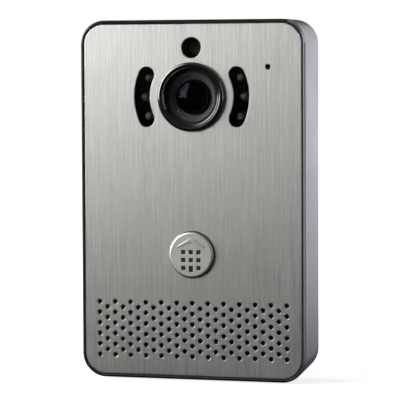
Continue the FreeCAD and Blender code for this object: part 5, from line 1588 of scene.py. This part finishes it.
@dataclass
class Studio:
    """The camera, the lamps and the pale floor."""

    azimuth: float = 17.0
    elevation: float = 3.23
    roll: float = -0.25
    distance: float = 0.8749
    lens: float = 212.27
    target: tuple[float, float, float] = (0.00323, -0.022, 0.00021)
    floor_half: float = 6.0
    floor_gap: float = 0.0006
    bright_side: tuple[float, float, float] = (-0.5, -0.25, 0.83)
    room_greys: tuple[float, float] = (0.01, 0.4)
    room_strength: float = 0.35
    floor_grey: float = 0.55
    floor_glow: tuple[float, float] = (0.8, 1.05)
    glow_reach: tuple[float, float] = (0.12, 0.3)
    rear_way: tuple[float, float, float] = (0.5, 0.85, 0.0)
    rear_reach: float = 0.35
    rear_glow: float = 0.55

    def camera(self) -> None:
        """Stands the camera where it looks at the panel a little from the right."""
        turn, rise = math.radians(self.azimuth), math.radians(self.elevation)
        back = Vector((math.sin(turn) * math.cos(rise), -math.cos(turn) * math.cos(rise), math.sin(rise)))
        right = (-back).cross(Vector((0, 0, 1))).normalized()
        up = right.cross(-back)
        tilt = math.radians(self.roll)
        across = right * math.cos(tilt) + up * math.sin(tilt)
        upward = up * math.cos(tilt) - right * math.sin(tilt)
        data = bpy.data.cameras.new("camera")
        data.lens, data.sensor_width = self.lens, 36.0
        data.clip_start, data.clip_end = 0.01, 100.0
        camera = bpy.data.objects.new("camera", data)
        place = Matrix((across, upward, back)).transposed().to_4x4()
        place.translation = Vector(self.target) + back * self.distance
        camera.matrix_world = place
        bpy.context.scene.collection.objects.link(camera)
        bpy.context.scene.camera = camera

    def world(self) -> None:
        """A white room for the camera and a dim graded one for everything else."""
        world = bpy.data.worlds.new("studio")
        world.use_nodes = True
        world.node_tree.nodes.clear()
        graph = NodeGraph(world.node_tree)
        way = graph.add("ShaderNodeTexCoord").outputs["Generated"]
        toward = graph.add("ShaderNodeVectorMath", {0: way, 1: self.bright_side}, operation="DOT_PRODUCT")
        dark, bright = self.room_greys
        ramp = graph.add("ShaderNodeMapRange",
                         {0: toward.outputs["Value"], 1: -0.1, 2: 0.9, 3: dark, 4: bright})
        dim = graph.add("ShaderNodeBackground", {"Color": ramp, "Strength": self.room_strength})
        white = graph.add("ShaderNodeBackground", {"Color": (1, 1, 1, 1), "Strength": 1.0})
        seen = graph.add("ShaderNodeLightPath").outputs["Is Camera Ray"]
        mix = graph.add("ShaderNodeMixShader", {0: seen, 1: dim, 2: white})
        graph.add("ShaderNodeOutputWorld", {0: mix})
        bpy.context.scene.world = world

    def floor(self) -> None:
        """A wide floor: pale to the camera, and to all else dark but for a lit zone behind the panel."""
        level = CAD_BOX[0].z - self.floor_gap
        half = self.floor_half
        mesh = bpy.data.meshes.new("floor")
        mesh.from_pydata([(-half, -half, level), (half, -half, level), (half, half, level),
                          (-half, half, level)], [], [(0, 1, 2, 3)])
        material = bpy.data.materials.new("pale_floor")
        material.use_nodes = True
        material.node_tree.nodes.clear()
        graph = NodeGraph(material.node_tree)
        pale = graph.add("ShaderNodeBsdfDiffuse", {"Color": (self.floor_grey,) * 3 + (1,)})
        place = graph.add("ShaderNodeTexCoord").outputs["Object"]
        away = graph.add("ShaderNodeVectorMath", {0: place}, operation="LENGTH").outputs["Value"]
        (near, far), (dim, bright) = self.glow_reach, self.floor_glow
        strength = graph.add("ShaderNodeMapRange", {0: away, 1: near, 2: far, 3: dim, 4: bright}).outputs[0]
        glow = graph.add("ShaderNodeEmission", {"Color": (1, 1, 1, 1), "Strength": strength})
        both = graph.add("ShaderNodeAddShader", {0: pale, 1: glow})
        dull = graph.add("ShaderNodeBsdfDiffuse", {"Color": (0.02, 0.02, 0.02, 1)})
        seen = graph.add("ShaderNodeLightPath").outputs["Is Camera Ray"]
        behind = graph.add("ShaderNodeVectorMath", {0: place, 1: self.rear_way}, operation="DOT_PRODUCT")
        lift = graph.add("ShaderNodeMapRange", {0: behind.outputs["Value"], 1: 0.0, 2: self.rear_reach,
                                                3: 0.0, 4: self.rear_glow})
        lit = graph.add("ShaderNodeEmission", {"Color": (0.97, 0.97, 1, 1), "Strength": lift.outputs[0]})
        unseen = graph.add("ShaderNodeAddShader", {0: dull, 1: lit})
        mix = graph.add("ShaderNodeMixShader", {0: seen, 1: unseen, 2: both})
        graph.add("ShaderNodeOutputMaterial", {0: mix})
        mesh.materials.append(material)
        floor = bpy.data.objects.new("floor", mesh)
        bpy.context.scene.collection.objects.link(floor)

    def build(self) -> None:
        """Sets up the studio."""
        bpy.context.scene.view_settings.view_transform = "Standard"
        self.camera()
        self.world()
        self.floor()
        for box in SOFT_BOXES:
            box.hang()


def main() -> None:
    """Builds each sub-assembly in turn, dresses the rest and lights the studio."""
    steps: list[tuple[str, Callable[[], None]]] = [
        ("studio", Studio().build), ("face", Face().build), ("camera eye", CameraEye().build),
        ("panel body", PanelBody().build), ("call button", CallButton().build),
        ("wall mount", WallMount().build), ("frame", WORKSHOP.dress_frame)]
    for name, step in steps:
        LOG.info("building %s", name)
        step()


if __name__ == "__main__":
    main()
